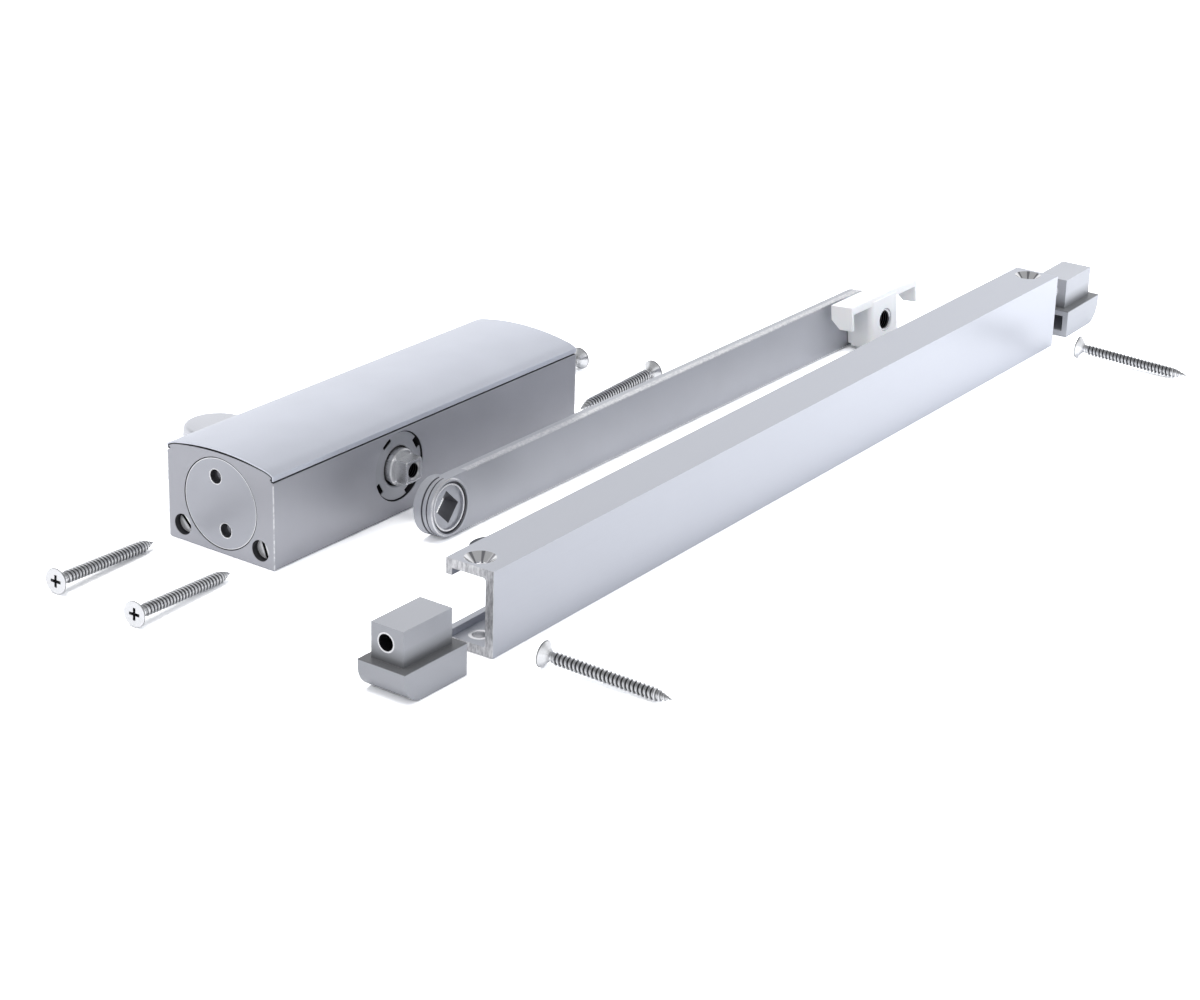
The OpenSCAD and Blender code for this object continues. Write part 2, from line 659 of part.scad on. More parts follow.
// Hub on the Y axis, its front at y = 0: a flange, two turned grooves with a ring between them, and a plain
// back. The recess in its face has a raised lip with a groove round it
module hub() difference() {
    ease = 0.6;
    back_at = hub_flange + 2 * groove_w + ring_w;
    rotate([-90, 0, 0]) rotate_extrude() difference() {
        union() {
            square([hub_r - groove_d, hub_l]);
            polygon([[0, 0], [hub_r - ease, 0], [hub_r, ease], [hub_r, hub_flange], [0, hub_flange]]);
            translate([0, hub_flange + groove_w]) square([hub_r - groove_d / 4, ring_w]);
            translate([0, back_at]) square([hub_r, hub_l - back_at]);
        }
        translate([0, -1]) square([recess_r, recess_d + 1]);
        translate([0, -1]) square([rim_r, 1.7]);
        translate([lip_r, -1]) square([rim_r - lip_r, 2.6]);
    }
    rotate([0, 45, 0]) translate([-square_hole_w / 2, -1, -square_hole_w / 2])
        cube([square_hole_w, hub_l + 2, square_hole_w]);
}

// Arm: a flat bar on its edge between the hub and the slider's pivot
module arm() color("#a3a6b0") at_arm() {
    difference() {
        run_y(hub_proud, bar_back) bar_outline();
        bar_y(rim_r + 0.2, hub_proud - 1, bar_back + 1);
        translate([arm_l, 0, 0]) bar_y(pin_r + seat_gap / 2, hub_proud - 1, bar_back + 1);
    }
    hub();
}

// Riveted pivot pin, with a collar let into the slider and a threaded hole in its end
module slider_pin() color("#c9cbd0") at_arm() translate([arm_l, 0, 0]) difference() {
    front = hub_proud - slider_reach + 0.3;
    union() {
        bar_y(pin_r, front + 0.2, bar_back + seat_gap);
        bar_y(pin_collar_r, front, front + pin_collar_t);
        bar_y(pin_head_r, bar_back + seat_gap / 2, bar_back + pin_head_t);
    }
    bar_y(pin_thread_r, front - 1, front + 8.7);
    translate([0, front - eps, 0]) rotate([-90, 0, 0])
        cylinder(r1 = pin_thread_r + thread_sink + eps, r2 = pin_thread_r, h = thread_sink + eps);
}

// Front outline of the slider's guide wings: a long top plate with a downturned end on each side
module wing_outline() {
    translate([-wing_half, wing_floor]) square([2 * wing_half, slider_half - wing_floor]);
    for (s = [-1, 1]) translate([s * (wing_half - wing_end_t / 2) - wing_end_t / 2, wing_end_floor])
        square([wing_end_t, slider_half - wing_end_floor]);
}

// Moulded slider: a neck that passes the track's slot, a block that runs in its channel, and guide wings
module slider() color("#f4f4f2") at_arm() translate([arm_l, hub_proud, 0]) difference() {
    round_r = 2.5;
    union() {
        run_y(-neck_end - eps, -joint_gap) translate([-neck_half, -neck_half])
            square([2 * neck_half, 2 * neck_half]);
        translate([0, 0, -block_half_z]) linear_extrude(2 * block_half_z) {
            translate([-block_half_x, -slider_reach + round_r])
                square([2 * block_half_x, slider_reach - round_r - neck_end]);
            translate([-block_half_x + round_r, -slider_reach])
                square([2 * (block_half_x - round_r), slider_reach - neck_end]);
            for (s = [-1, 1]) translate([s * (block_half_x - round_r), -slider_reach + round_r])
                circle(r = round_r);
        }
        run_y(-slider_reach + 0.2, -neck_end) wing_outline();
        run_y(-slider_reach + 0.2, -neck_end) translate([-8, -slider_half]) square([16, slider_half]);
    }
    bar_y(pin_r + run_fit, -slider_reach - 1, 1);
    bar_y(pin_collar_r + 0.15, -slider_reach - 1, -slider_reach + 0.3 + pin_collar_t + joint_gap);
    for (s = [-1, 1]) translate([s * wing_half, -neck_end, wing_end_floor]) rotate([45, 0, 0])
        cube([3 * wing_end_t, 5.6, 5.6], center = true);
}

// Cross-section of the track: a web, two flanges and a lip on each side of the slot
module track_outline() difference() {
    translate([-track_d, 0]) square([track_d, track_h]);
    inner_round = 1;
    translate([-track_d + track_wall, track_wall + inner_round]) square([channel_d, channel_h - 2 * inner_round]);
    translate([-track_d + track_wall + inner_round, track_wall]) square([channel_d - inner_round, channel_h]);
    for (z = [track_wall + inner_round, track_h - track_wall - inner_round])
        translate([-track_d + track_wall + inner_round, z]) circle(r = inner_round, $fn = 24);
    translate([-lip_t - 1, lip_h]) square([lip_t + 2, track_h - 2 * lip_h]);
}

// What stands in the track's own frame on the table
module at_track() translate([track_x, track_y, 0]) rotate([0, 0, track_yaw]) children();

module track() color("#b3b7c3") at_track() difference() {
    run_x(0, track_l) track_outline();
    for (x = [track_hole_in, track_l - track_hole_in]) translate([x, track_hole_y, 0]) {
        translate([0, 0, -1]) cylinder(r = fix_hole_r, h = track_h + 2);
        translate([0, 0, track_h - sink_r + fix_hole_r])
            cylinder(r1 = fix_hole_r, r2 = sink_r + 0.05, h = sink_r - fix_hole_r + 0.05);
    }
}

// End cap standing on its outer face, with its track plug upwards
module end_cap() difference() {
    union() {
        run_y(-cap_w, 0) {
            translate([cap_round, 0]) square([cap_l - cap_round, cap_head]);
            intersection() {
                translate([cap_round, cap_round]) circle(r = cap_round);
                square([cap_l, cap_head]);
            }
            translate([0, cap_round]) square([cap_l, cap_head - cap_round]);
        }
        translate([cap_ledge_x, -cap_ledge_y - plug_w, cap_head - 1]) cube([plug_len_x, plug_w, cap_plug + 1]);
    }
    translate([pocket_wall + cap_round, pocket_wall - cap_w, pocket_wall])
        cube([cap_l, cap_w - 2 * pocket_wall, cap_head - 2 * pocket_wall]);
    translate([0, track_hole_y, cap_head + track_hole_in]) bar_x(cap_bore_r, -1, cap_l + 1);
}

module near_end_cap() color("#8b8d90") translate([near_cap_x, near_cap_y, 0]) end_cap();
module far_end_cap() color("#8b8d90") translate([far_cap_x, far_cap_y, 0]) rotate([0, 0, far_cap_yaw])
    translate([cap_l, 0, 0]) mirror([1, 0, 0]) end_cap();

// Round cover for the spare spindle end, lying open side down
module spindle_cap() color("#d4d6db") translate([spindle_cap_x, spindle_cap_y, 0]) difference() {
    round_r = 1.6;
    base_r = spindle_cap_r + 0.8;
    rotate_extrude() {
        polygon([[0, 0], [base_r, 0], [spindle_cap_r, spindle_cap_h - round_r],
                 [spindle_cap_r - round_r, spindle_cap_h], [0, spindle_cap_h]]);
        translate([spindle_cap_r - round_r, spindle_cap_h - round_r]) circle(r = round_r, $fn = 32);
    }
    translate([0, 0, -1]) cylinder(r = spindle_cap_r - cap_wall, h = spindle_cap_h - cap_wall + 1);
}

// Dark cap that closes the recess in the arm's hub, lying on its spigot
module hub_cap() color("#55585c") translate([hub_cap_x, hub_cap_y, 0]) {
    cylinder(r = recess_r - 0.2, h = recess_d - 0.4);
    translate([0, 0, recess_d - 0.4 - eps]) cylinder(r1 = hub_cap_r, r2 = hub_cap_r - 0.5, h = hub_cap_t);
}

// Flanged screw that holds the arm on the spindle, lying behind the track
module arm_screw() color("#8e9096") {
    tilt = atan((flange_r - arm_screw_r) / arm_screw_l);
    at_track() translate([arm_screw_at, arm_screw_away, flange_r * cos(tilt)]) rotate([0, tilt, 0]) difference() {
        union() {
            bar_x(flange_r, -flange_t, 0);
            bar_x(4.9, -flange_t - 2.4, 0);
            bar_x(arm_screw_r, 0, arm_screw_l);
        }
        translate([-flange_t - 3, 0, 0]) rotate([0, 90, 0]) cylinder(r = 2.3, h = 2.6, $fn = 6);
    }
}

// Countersunk tapping screw along +X, its head's flat face at the origin
module fixing_screw() difference() {
    head_h = screw_head_r - screw_r + 0.3;
    turn_x(0) polygon([[0, 0], [screw_head_r, 0], [screw_head_r, 0.3], [screw_r, head_h],
                       [screw_r, screw_l - screw_point], [0.25, screw_l], [0, screw_l]]);
    for (a = [0, 90]) rotate([a, 0, 0]) translate([-1, -2.5, -0.5]) cube([2.4, 5, 1]);
}

// A screw that lies on its head's rim and its thread's end, head at x, y, pointing along yaw
module lying_screw(x, y, yaw) translate([x, y, screw_head_r * cos(screw_tilt)])
    rotate([0, screw_tilt, yaw]) fixing_screw();

module fixing_screws() color("#c3c5ca") {
    for (s = body_screws) lying_screw(s[0] * (body_l / 2 + s[1] + screw_l), s[2], s[3]);
    at_track() lying_screw(track_hole_in - 1, -track_d - 16.3, -87.4);
    at_track() lying_screw(track_l - track_hole_in + 0.6, -track_d - 15.4, -87);
}

housing();
cover();
near_end_plug();
far_end_plug();
near_plug_seal();
far_plug_seal();
front_bearing_nut();
back_bearing_nut();
front_bearing();
back_bearing();
front_spindle_seal();
back_spindle_seal();
spindle();
piston();
piston_ring();
check_valve_seat();
check_valve_ball();
outer_spring();
inner_spring();
sweep_valve();
latch_valve();
sweep_valve_seal();
latch_valve_seal();
arm();
slider();
slider_pin();
track();
near_end_cap();
far_end_cap();
spindle_cap();
hub_cap();
arm_screw();
fixing_screws();
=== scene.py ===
"""Looks of the slide arm door closer, laid out as a set on a pale table. Lengths are in millimetres until a mesh is
made, and angles in degrees."""
import json
import math

import bmesh
import bpy
import numpy as np
from mathutils import Matrix, Vector


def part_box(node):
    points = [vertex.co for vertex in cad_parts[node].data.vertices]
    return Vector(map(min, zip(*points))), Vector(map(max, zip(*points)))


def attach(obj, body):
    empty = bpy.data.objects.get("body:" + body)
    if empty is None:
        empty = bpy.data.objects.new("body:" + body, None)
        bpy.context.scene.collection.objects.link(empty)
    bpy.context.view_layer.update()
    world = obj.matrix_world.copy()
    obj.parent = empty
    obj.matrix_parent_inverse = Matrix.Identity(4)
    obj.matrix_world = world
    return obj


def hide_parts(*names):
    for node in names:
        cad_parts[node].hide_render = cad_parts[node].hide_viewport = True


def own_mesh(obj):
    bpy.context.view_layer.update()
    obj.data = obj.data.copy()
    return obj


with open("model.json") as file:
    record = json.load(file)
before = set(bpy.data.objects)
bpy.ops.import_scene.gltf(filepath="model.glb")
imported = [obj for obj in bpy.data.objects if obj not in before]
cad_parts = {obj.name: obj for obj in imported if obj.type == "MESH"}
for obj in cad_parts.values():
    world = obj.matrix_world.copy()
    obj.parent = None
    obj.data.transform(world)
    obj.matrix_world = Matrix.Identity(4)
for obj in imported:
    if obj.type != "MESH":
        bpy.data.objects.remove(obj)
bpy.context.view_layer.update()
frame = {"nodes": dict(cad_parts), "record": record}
MM = 0.001


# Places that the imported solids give

def corners(node):
    """Lowest and highest corner of a node, in millimetres."""
    low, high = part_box(node)
    return np.array(low) / MM, np.array(high) / MM


def middle(node):
    """Centre of a node's box, in millimetres."""
    low, high = corners(node)
    return (low + high) / 2


# Meshes

MERGED, SOLID_MERGED = 2e-7, 3e-6    # points this close, in metres, are one: in new meshes, and in the solids
FLAT, SHARP = 0.5, 32.0              # faces of a solid closer than FLAT are one, and edges past SHARP are real


def add_piece(name, points, faces, finish, body, replaced, smooth_to, values=None):
    """Makes a piece from points in millimetres and faces: doubles are merged, faces are turned outwards, and edges
    sharper than smooth_to degrees stay crisp. values are named numbers, one a point, that its material reads."""
    mesh = bpy.data.meshes.new(name)
    mesh.from_pydata((np.asarray(points) * MM).tolist(), [], [list(f) for f in faces])
    for key, numbers in (values or {}).items():
        mesh.attributes.new(key, "FLOAT", "POINT").data.foreach_set("value", np.asarray(numbers, np.float32))
    work = bmesh.new()
    work.from_mesh(mesh)
    bmesh.ops.remove_doubles(work, verts=work.verts, dist=MERGED)
    bmesh.ops.dissolve_degenerate(work, edges=work.edges, dist=MERGED)
    bmesh.ops.recalc_face_normals(work, faces=work.faces)
    work.to_mesh(mesh)
    work.free()
    return place_piece(name, mesh, finish, body, replaced, smooth_to)


def place_piece(name, mesh, finish, body, replaced, smooth_to):
    """Puts a finished mesh into the scene with its shading, material and body, and hides the nodes it stands for."""
    mesh.polygons.foreach_set("use_smooth", np.ones(len(mesh.polygons), bool))
    mesh.set_sharp_from_angle(angle=math.radians(smooth_to))
    mesh.materials.clear()
    mesh.materials.append(finish)
    piece = bpy.data.objects.new(name, mesh)
    bpy.context.scene.collection.objects.link(piece)
    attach(piece, body)
    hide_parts(*replaced)
    return piece


def grid_faces(rows, columns, shift=0):
    """Quads of a grid of rows by columns that closes round its columns. The last column joins the first one
    shift rows further on, as the turns of a thread do."""
    row = np.repeat(np.arange(rows - 1 - shift), columns)
    column = np.tile(np.arange(columns), rows - 1 - shift)
    following = (column + 1) % columns
    ahead = np.where(column == columns - 1, shift, 0)
    return np.stack([row * columns + column, (row + 1) * columns + column,
                     (row + 1 + ahead) * columns + following, (row + ahead) * columns + following], 1)


def turn_about(axis, degrees):
    """Rotation matrix about X, Y or Z."""
    return np.array(Matrix.Rotation(math.radians(degrees), 3, axis))


def eased(node, finish, body, fine, outer=None, where=None, segments=3):
    """A merged copy of a node's solid whose flat faces are joined up again and whose edges are rounded over, so that
    they catch the light as a real cast, cut or moulded edge does. Every edge is rounded by fine millimetres, and
    those whose middles, in millimetres, the test where picks out by outer millimetres."""
    work = bmesh.new()
    work.from_mesh(frame["nodes"][node].data)
    bmesh.ops.remove_doubles(work, verts=work.verts, dist=SOLID_MERGED)
    bmesh.ops.dissolve_degenerate(work, edges=work.edges, dist=SOLID_MERGED)
    bmesh.ops.dissolve_limit(work, angle_limit=math.radians(FLAT), verts=work.verts, edges=work.edges)
    work.edges.ensure_lookup_table()
    sharp = np.array([e.calc_face_angle(0.0) for e in work.edges]) > math.radians(SHARP)
    mesh = bpy.data.meshes.new(node + "_eased")
    work.to_mesh(mesh)
    work.free()
    if "custom_normal" in mesh.attributes:
        mesh.attributes.remove(mesh.attributes["custom_normal"])
    ends = np.zeros(2 * len(mesh.edges), int)
    mesh.edges.foreach_get("vertices", ends)
    spots = np.zeros(3 * len(mesh.vertices))
    mesh.vertices.foreach_get("co", spots)
    middles = spots.reshape(-1, 3)[ends.reshape(-1, 2)].mean(1) / MM
    widest = outer or fine
    widths = np.where(where(*middles.T), widest, fine) if where else np.full(len(middles), fine)
    weights = mesh.attributes.new("bevel_weight_edge", "FLOAT", "EDGE")
    weights.data.foreach_set("value", (sharp * widths / widest).astype(np.float32))
    piece = place_piece(node + "_eased", mesh, finish, body, (node,), SHARP)
    bevel = piece.modifiers.new("eased_edges", "BEVEL")
    bevel.width = widest * MM
    bevel.segments = segments
    bevel.limit_method = "WEIGHT"
    bevel.harden_normals = True
    bevel.use_clamp_overlap = True
    return piece


# Materials

# Sockets of a Mix node: its inputs A and B, and its output
MIX_NUMBERS, MIX_COLOURS = (2, 3, 0), (6, 7, 2)
WAVE_TURNS = 20                      # Blender's wave texture takes its coordinates this many times


class Finish:
    """A named material with one Principled shader. Its colour, gloss and metal are built up in layers that read
    Object coordinates, and done() hands them to the shader."""

    def __init__(self, name, colour, metallic, roughness, **sockets):
        self.made = bpy.data.materials.new(name)
        self.made.use_nodes = True
        self.tree = self.made.node_tree
        self.shader = self.tree.nodes["Principled BSDF"]
        self.shader.inputs["Base Color"].default_value = (*colour, 1)
        self.shader.inputs["Metallic"].default_value = metallic
        self.shader.inputs["Roughness"].default_value = roughness
        for socket, value in sockets.items():
            self.shader.inputs[socket.replace("_", " ")].default_value = value
        self.place = self.tree.nodes.new("ShaderNodeTexCoord").outputs["Object"]
        self.layers = {"Base Color": colour, "Metallic": metallic, "Roughness": roughness}

    def node(self, kind, **settings):
        """Adds a node; a setting that is an input's name sets that input."""
        made = self.tree.nodes.new(kind)
        for key, value in settings.items():
            name = key.replace("_", " ")
            if name in made.inputs:
                made.inputs[name].default_value = value
            else:
                setattr(made, key, value)
        return made

    def feed(self, value, socket):
        """Sets a socket to a number or a colour, or links another socket to it."""
        if isinstance(value, bpy.types.NodeSocket):
            self.tree.links.new(value, socket)
        elif isinstance(value, tuple):
            socket.default_value = (*value, 1)
        else:
            socket.default_value = value

    def local(self, centre=(0, 0, 0), turn=(0, 0, 0), scale=(1, 1, 1)):
        """Object coordinates in the frame of a centre in millimetres that is turned in degrees, scaled per axis."""
        moved = self.node("ShaderNodeMapping", vector_type="TEXTURE", Location=[c * MM for c in centre],
                          Rotation=[math.radians(t) for t in turn])
        self.feed(self.place, moved.inputs["Vector"])
        sized = self.node("ShaderNodeMapping", Scale=scale)
        self.feed(moved.outputs["Vector"], sized.inputs["Vector"])
        return sized.outputs["Vector"]

    def axes(self, vector):
        """X, Y and Z of a vector."""
        return self.through("ShaderNodeSeparateXYZ", vector).outputs

    def through(self, kind, source, **settings):
        """A node of that kind with the source in its first input."""
        made = self.node(kind, **settings)
        self.feed(source, made.inputs[0])
        return made

    def maths(self, operation, first, second=0.0):
        """One arithmetic step on two numbers or sockets."""
        made = self.through("ShaderNodeMath", first, operation=operation)
        self.feed(second, made.inputs[1])
        return made.outputs[0]

    def all_of(self, *masks):
        """Where every mask holds."""
        out = masks[0]
        for mask in masks[1:]:
            out = self.maths("MINIMUM", out, mask)
        return out

    def any_of(self, *masks):
        """Where at least one mask holds."""
        out = masks[0]
        for mask in masks[1:]:
            out = self.maths("MAXIMUM", out, mask)
        return out

    def over(self, source, limit, soft=0.1):
        """1 where a length is over a limit in millimetres, 0 where it is under, with a soft step between."""
        return self.spread(source, 0, 1, (limit - soft / 2) * MM, (limit + soft / 2) * MM)

    def under(self, source, limit, soft=0.1):
        """1 where a length is under a limit in millimetres."""
        return self.spread(source, 1, 0, (limit - soft / 2) * MM, (limit + soft / 2) * MM)

    def between(self, source, low, high, soft=0.1):
        """1 where a length lies between two limits in millimetres."""
        return self.all_of(self.over(source, low, soft), self.under(source, high, soft))

    def radius(self, first, second):
        """Distance from the axis that two coordinates are measured from."""
        return self.maths("SQRT", self.maths("ADD", self.maths("MULTIPLY", first, first),
                                             self.maths("MULTIPLY", second, second)))

    def noise(self, size, detail=3.0, rough=0.55, vector=None):
        """Noise whose lumps are about size millimetres across."""
        made = self.node("ShaderNodeTexNoise", Scale=1 / (size * MM), Detail=detail, Roughness=rough)
        self.feed(self.place if vector is None else vector, made.inputs["Vector"])
        return made.outputs["Fac"]

    def spread(self, source, low, high, start=0.25, end=0.75):
        """The source's range start to end, spread over low to high."""
        made = self.node("ShaderNodeMapRange")
        for key, value in (("From Min", start), ("From Max", end), ("To Min", low), ("To Max", high)):
            made.inputs[key].default_value = value
        self.feed(source, made.inputs["Value"])
        return made.outputs["Result"]

    def layer(self, mask, **values):
        """Lays a colour, roughness or metal over what is there, where the mask holds."""
        for key, value in values.items():
            socket = {"colour": "Base Color", "rough": "Roughness", "metal": "Metallic"}[key]
            under, over, out = MIX_COLOURS if key == "colour" else MIX_NUMBERS
            made = self.node("ShaderNodeMix", data_type="RGBA" if key == "colour" else "FLOAT")
            self.feed(mask, made.inputs[0])
            self.feed(self.layers[socket], made.inputs[under])
            self.feed(value, made.inputs[over])
            self.layers[socket] = made.outputs[out]
        return self

    def clouds(self, source, first, second):
        """Colour that drifts between two shades of the base colour, by the source."""
        base = self.layers["Base Color"]
        self.layers["Base Color"] = shade(base, first)
        return self.layer(source, colour=shade(base, second))

    def bump(self, heights, depths):
        """Bump from heights of so many millimetres each, laid over each other."""
        normal = None
        for height, depth in zip(heights, depths):
            made = self.node("ShaderNodeBump", Strength=1.0, Distance=depth * MM)
            self.feed(height, made.inputs["Height"])
            if normal is not None:
                self.feed(normal, made.inputs["Normal"])
            normal = made.outputs["Normal"]
        self.feed(normal, self.shader.inputs["Normal"])
        return self

    def done(self):
        """Hands the layers to the shader."""
        for key, value in self.layers.items():
            if isinstance(value, bpy.types.NodeSocket):
                self.feed(value, self.shader.inputs[key])
        return self.made


def shade(colour, factor):
    """A colour made lighter or darker."""
    return tuple(min(1.0, c * factor) for c in colour)


def satin(name, colour, roughness, metallic, peel=0.012):
    """Satin paint: broad faint clouds in the colour, fine flakes that change the gloss, and a soft orange peel."""
    f = Finish(name, colour, metallic, roughness)
    flakes = f.noise(0.28, 2.0, 0.7)
    f.clouds(f.spread(f.noise(26, 2.0), 0, 1), 0.965, 1.03)
    f.layers["Roughness"] = f.spread(flakes, roughness - 0.05, roughness + 0.07)
    return f.bump([f.noise(1.6, 3.0), flakes], [peel, 0.0035])


def brushed(name, colour, roughness, lay=(0.012, 1, 1), turn=(0, 0, 0), metallic=1.0, depth=0.006, size=0.25,
            drift=(0.93, 1.04)):
    """Metal brushed along its length: noise drawn out along the brushing, in the gloss, the colour and the bump."""
    f = Finish(name, colour, metallic, roughness)
    lines = f.noise(size, 3.0, 0.6, f.local(turn=turn, scale=lay))
    f.clouds(f.spread(lines, 0, 1), *drift)
    f.layers["Roughness"] = f.spread(lines, roughness - 0.06, roughness + 0.08)
    return f.bump([lines, f.noise(18, 2.0)], [depth, 0.01])


def faced(name, colour, roughness, centre, axis="X", turn=(0, 0, 0), ring=0.35):
    """Metal faced on a lathe: fine rings about the piece's own axis, 2 pi times ring millimetres apart and broken up
    a little by noise."""
    f = Finish(name, colour, 1.0, roughness)
    rings = f.node("ShaderNodeTexWave", wave_type="RINGS", rings_direction=axis, Scale=1 / (ring * MM) / WAVE_TURNS,
                   Distortion=1.2, Detail=2.0, Detail_Scale=2.0)
    f.feed(f.local(centre, turn), rings.inputs["Vector"])
    marks = f.noise(3.0, 3.0)
    f.clouds(f.spread(marks, 0, 1), 0.92, 1.05)
    f.layers["Roughness"] = f.spread(marks, roughness - 0.05, roughness + 0.09)
    return f.bump([rings.outputs["Fac"], marks], [0.004, 0.006])


def moulded(name, colour, roughness, grain=0.35, depth=0.006, metallic=0.0, **sockets):
    """Moulded plastic or rubber: a fine even grain, and faint flow clouds in the colour."""
    f = Finish(name, colour, metallic, roughness, **sockets)
    fine = f.noise(grain, 2.0, 0.6)
    f.clouds(f.spread(f.noise(12, 2.0), 0, 1), 0.96, 1.02)
    f.layers["Roughness"] = f.spread(fine, roughness - 0.04, roughness + 0.06)
    return f.bump([fine, f.noise(5, 2.0)], [depth, 0.01])


def threaded_bore(f, vector, bore_r, start, end, hole_shade=0.025, crest_glint=0.16):
    """A tapped hole along Y of a frame: nearly black painted shade inside, with painted glints on the thread's
    crests every millimetre."""
    x, along, z = f.axes(vector)
    hole = f.all_of(f.under(f.radius(x, z), bore_r + 0.25), f.between(along, start, end, 0.2))
    crests = f.spread(f.maths("SINE", f.maths("MULTIPLY", along, 2 * math.pi / MM)), 0.0, 1.0, 0.1, 0.9)
    # painted shade in the hole and painted glints on the crests
    f.layer(hole, colour=(hole_shade, hole_shade, 1.1 * hole_shade), rough=0.35)
    return f.layer(f.all_of(hole, crests), colour=(crest_glint, crest_glint, 1.05 * crest_glint))


# Colours, places and sizes that the finishes follow. A ring or a depth is given as where it starts and ends

SHADE_IN_GAPS = (0.03, 0.03, 0.034)        # near-black painted shade in gaps, slots and seats
TURNED_AND_HIGHLIGHT = (0.80, 0.80, 0.82)          # bright metal: edges turned or cut bright, and on the arm's hub rings a painted highlight
BRIGHT_STEEL_AND_HIGHLIGHT = (0.86, 0.865, 0.88)         # bright steel: the valves' own colour, and the casting's painted corner highlight

# Closer: half its length, width and height, the top of its painted sides, and points on the bore's and the
# spindle's axes
BODY_HALF = (corners("housing")[1] - corners("housing")[0]) / 2
SIDE_TOP = 33.3
BORE = (0.0, 0.0, 19.0)
SPINDLE = (-19.7, 0.0, 19.0)

# Cover's inside: the middle arc's radius and how far its centre lies under the base, a shoulder arc's radius and
# the place of its centre, how far out the middle arc goes, and the inner faces of the sides
CROWN_R, CROWN_DOWN = 105.25, 66.3
SHOULDER_R, SHOULDER_Y, SHOULDER_Z = 13.45, 18.2, 23.7
CROWN_END, COVER_SIDE = 20.5, 24.75

# Valve's face, and how far under it the slot gets painted shade
VALVE_FACE = corners("sweep_valve")[0][0]
VALVE_SLOT = 0.25

# End plug: where its rim starts, the painted highlight on the edge of its face, and the walls, painted highlights
# and pilots of the pin spanner holes, whose line is turned about the bore
PLUG_RIM, PLUG_HIGHLIGHT = 16.5, (16.72, 16.98)
PIN_HOLE_TURN, PIN_HOLE_AT = (-12.6, 0.0, 0.0), 10
PIN_HOLE_WALL, PIN_HOLE_HIGHLIGHT, PILOT_R = (2.3, 3.0), (2.55, 3.0), 1.5

# Bearing nut: where its rim starts, and how far under the closer's side the rim and the notches' roots get
# painted shade
NUT_RIM, NUT_RIM_IN, NOTCH_IN = 12.75, 0.65, 1.0

# Spindle: half its square, where it ends, and its tapped holes
SQUARE_HALF = 4.3
SPINDLE_OUT = BODY_HALF[1] + 7.1
SPINDLE_BORE_R, SPINDLE_BORE = 2.75, (18.0, 31.8)

# Arm: the middle of its hub's front, its lean, and rings about the hub with how far behind that front they lie
ARM_HUB, ARM_LEAN = (-24.6, -53.5, 11.69), (-5.0, 0.0, 0.0)
HUB_RIM, HUB_RIM_IN = (10.3, 11.1), 0.35
HUB_GROOVE, HUB_GROOVE_IN = (9.9, 10.72), (1.95, 4.95)
HUB_LIP, HUB_LIP_IN = (8.1, 8.75), 0.95
LIP_GROOVE, LIP_GROOVE_IN = (8.7, 9.8), (1.0, 1.8)
SQUARE_HOLE, SQUARE_HOLE_IN = 6.4, (1.75, 9.5)

# Bar: its narrow sides, and where they carry a painted highlight, from the hub on and down from the front
BAR_SIDE, BAR_FROM, BAR_HIGHLIGHT_IN = 10.55, 11.0, 3.4

# Slider's pivot pin and its tapped hole
ARM_PIVOT = (254.9, -53.5, 11.69)
PIN_BORE_R, PIN_BORE = 3.6, (-12.3, -3.0)

# Track: its corner and turn, its length, its screw holes, and their countersinks and burrs
TRACK_END, TRACK_TURN = (-95.0, -108.4, 0.0), (0.0, 0.0, 1.06)
TRACK_L, SAW_CUT = 400, 0.15
TRACK_HOLES, TRACK_HOLE_IN = (7.0, 393.0), 9.0
SINK_R, SINK_FROM, CHATTER_MARKS = 5.5, 28.2, 7.0
BURR_R, BURR_TOP = 3.9, 3.6

# End cap: the ledge between its head and plug, the painted shade above that, and the cross bore with its turned edge
CAP_LEDGE, CAP_SHADE = 11.6, 6.5
CAP_BORE_R, CAP_BORE_EDGE = 3.0, (2.8, 3.55)


def casting_paint():
    """Paint of the casting: silver on its outer faces, near-black painted shade on what lies deeper, such as the
    valve bores, the seats of the plugs and the crown under the cover's open joint, and a painted highlight of bright
    metal in patches on the upright corners."""
    f = satin("silver_casting_paint", (0.475, 0.48, 0.52), 0.38, 0.75)
    x, y, z = f.axes(f.place)
    ends = f.over(f.maths("ABSOLUTE", x), BODY_HALF[0] - 0.2)
    sides = f.all_of(f.over(f.maths("ABSOLUTE", y), BODY_HALF[1] - 0.22), f.under(z, SIDE_TOP - 0.15))
    painted = f.any_of(ends, sides, f.under(z, 0.5))
    # painted shade: near-black on every face deeper than the outer faces
    f.layer(f.maths("SUBTRACT", 1.0, painted), colour=(0.035, 0.035, 0.04), rough=0.6, metal=0.2)
    # painted highlight: patches of bright metal on the rounded upright corners
    rounding = 0.34
    corner = f.all_of(f.over(f.maths("ABSOLUTE", x), BODY_HALF[0] - rounding, 0.06),
                      f.over(f.maths("ABSOLUTE", y), BODY_HALF[1] - rounding, 0.06), f.under(z, SIDE_TOP - 1.0))
    corner_highlight_patches = f.spread(f.noise(1.6, 3.0, 0.6), 0.2, 0.9, 0.4, 0.55)
    return f.layer(f.maths("MULTIPLY", corner, corner_highlight_patches), colour=BRIGHT_STEEL_AND_HIGHLIGHT, rough=0.3, metal=0.9).done()


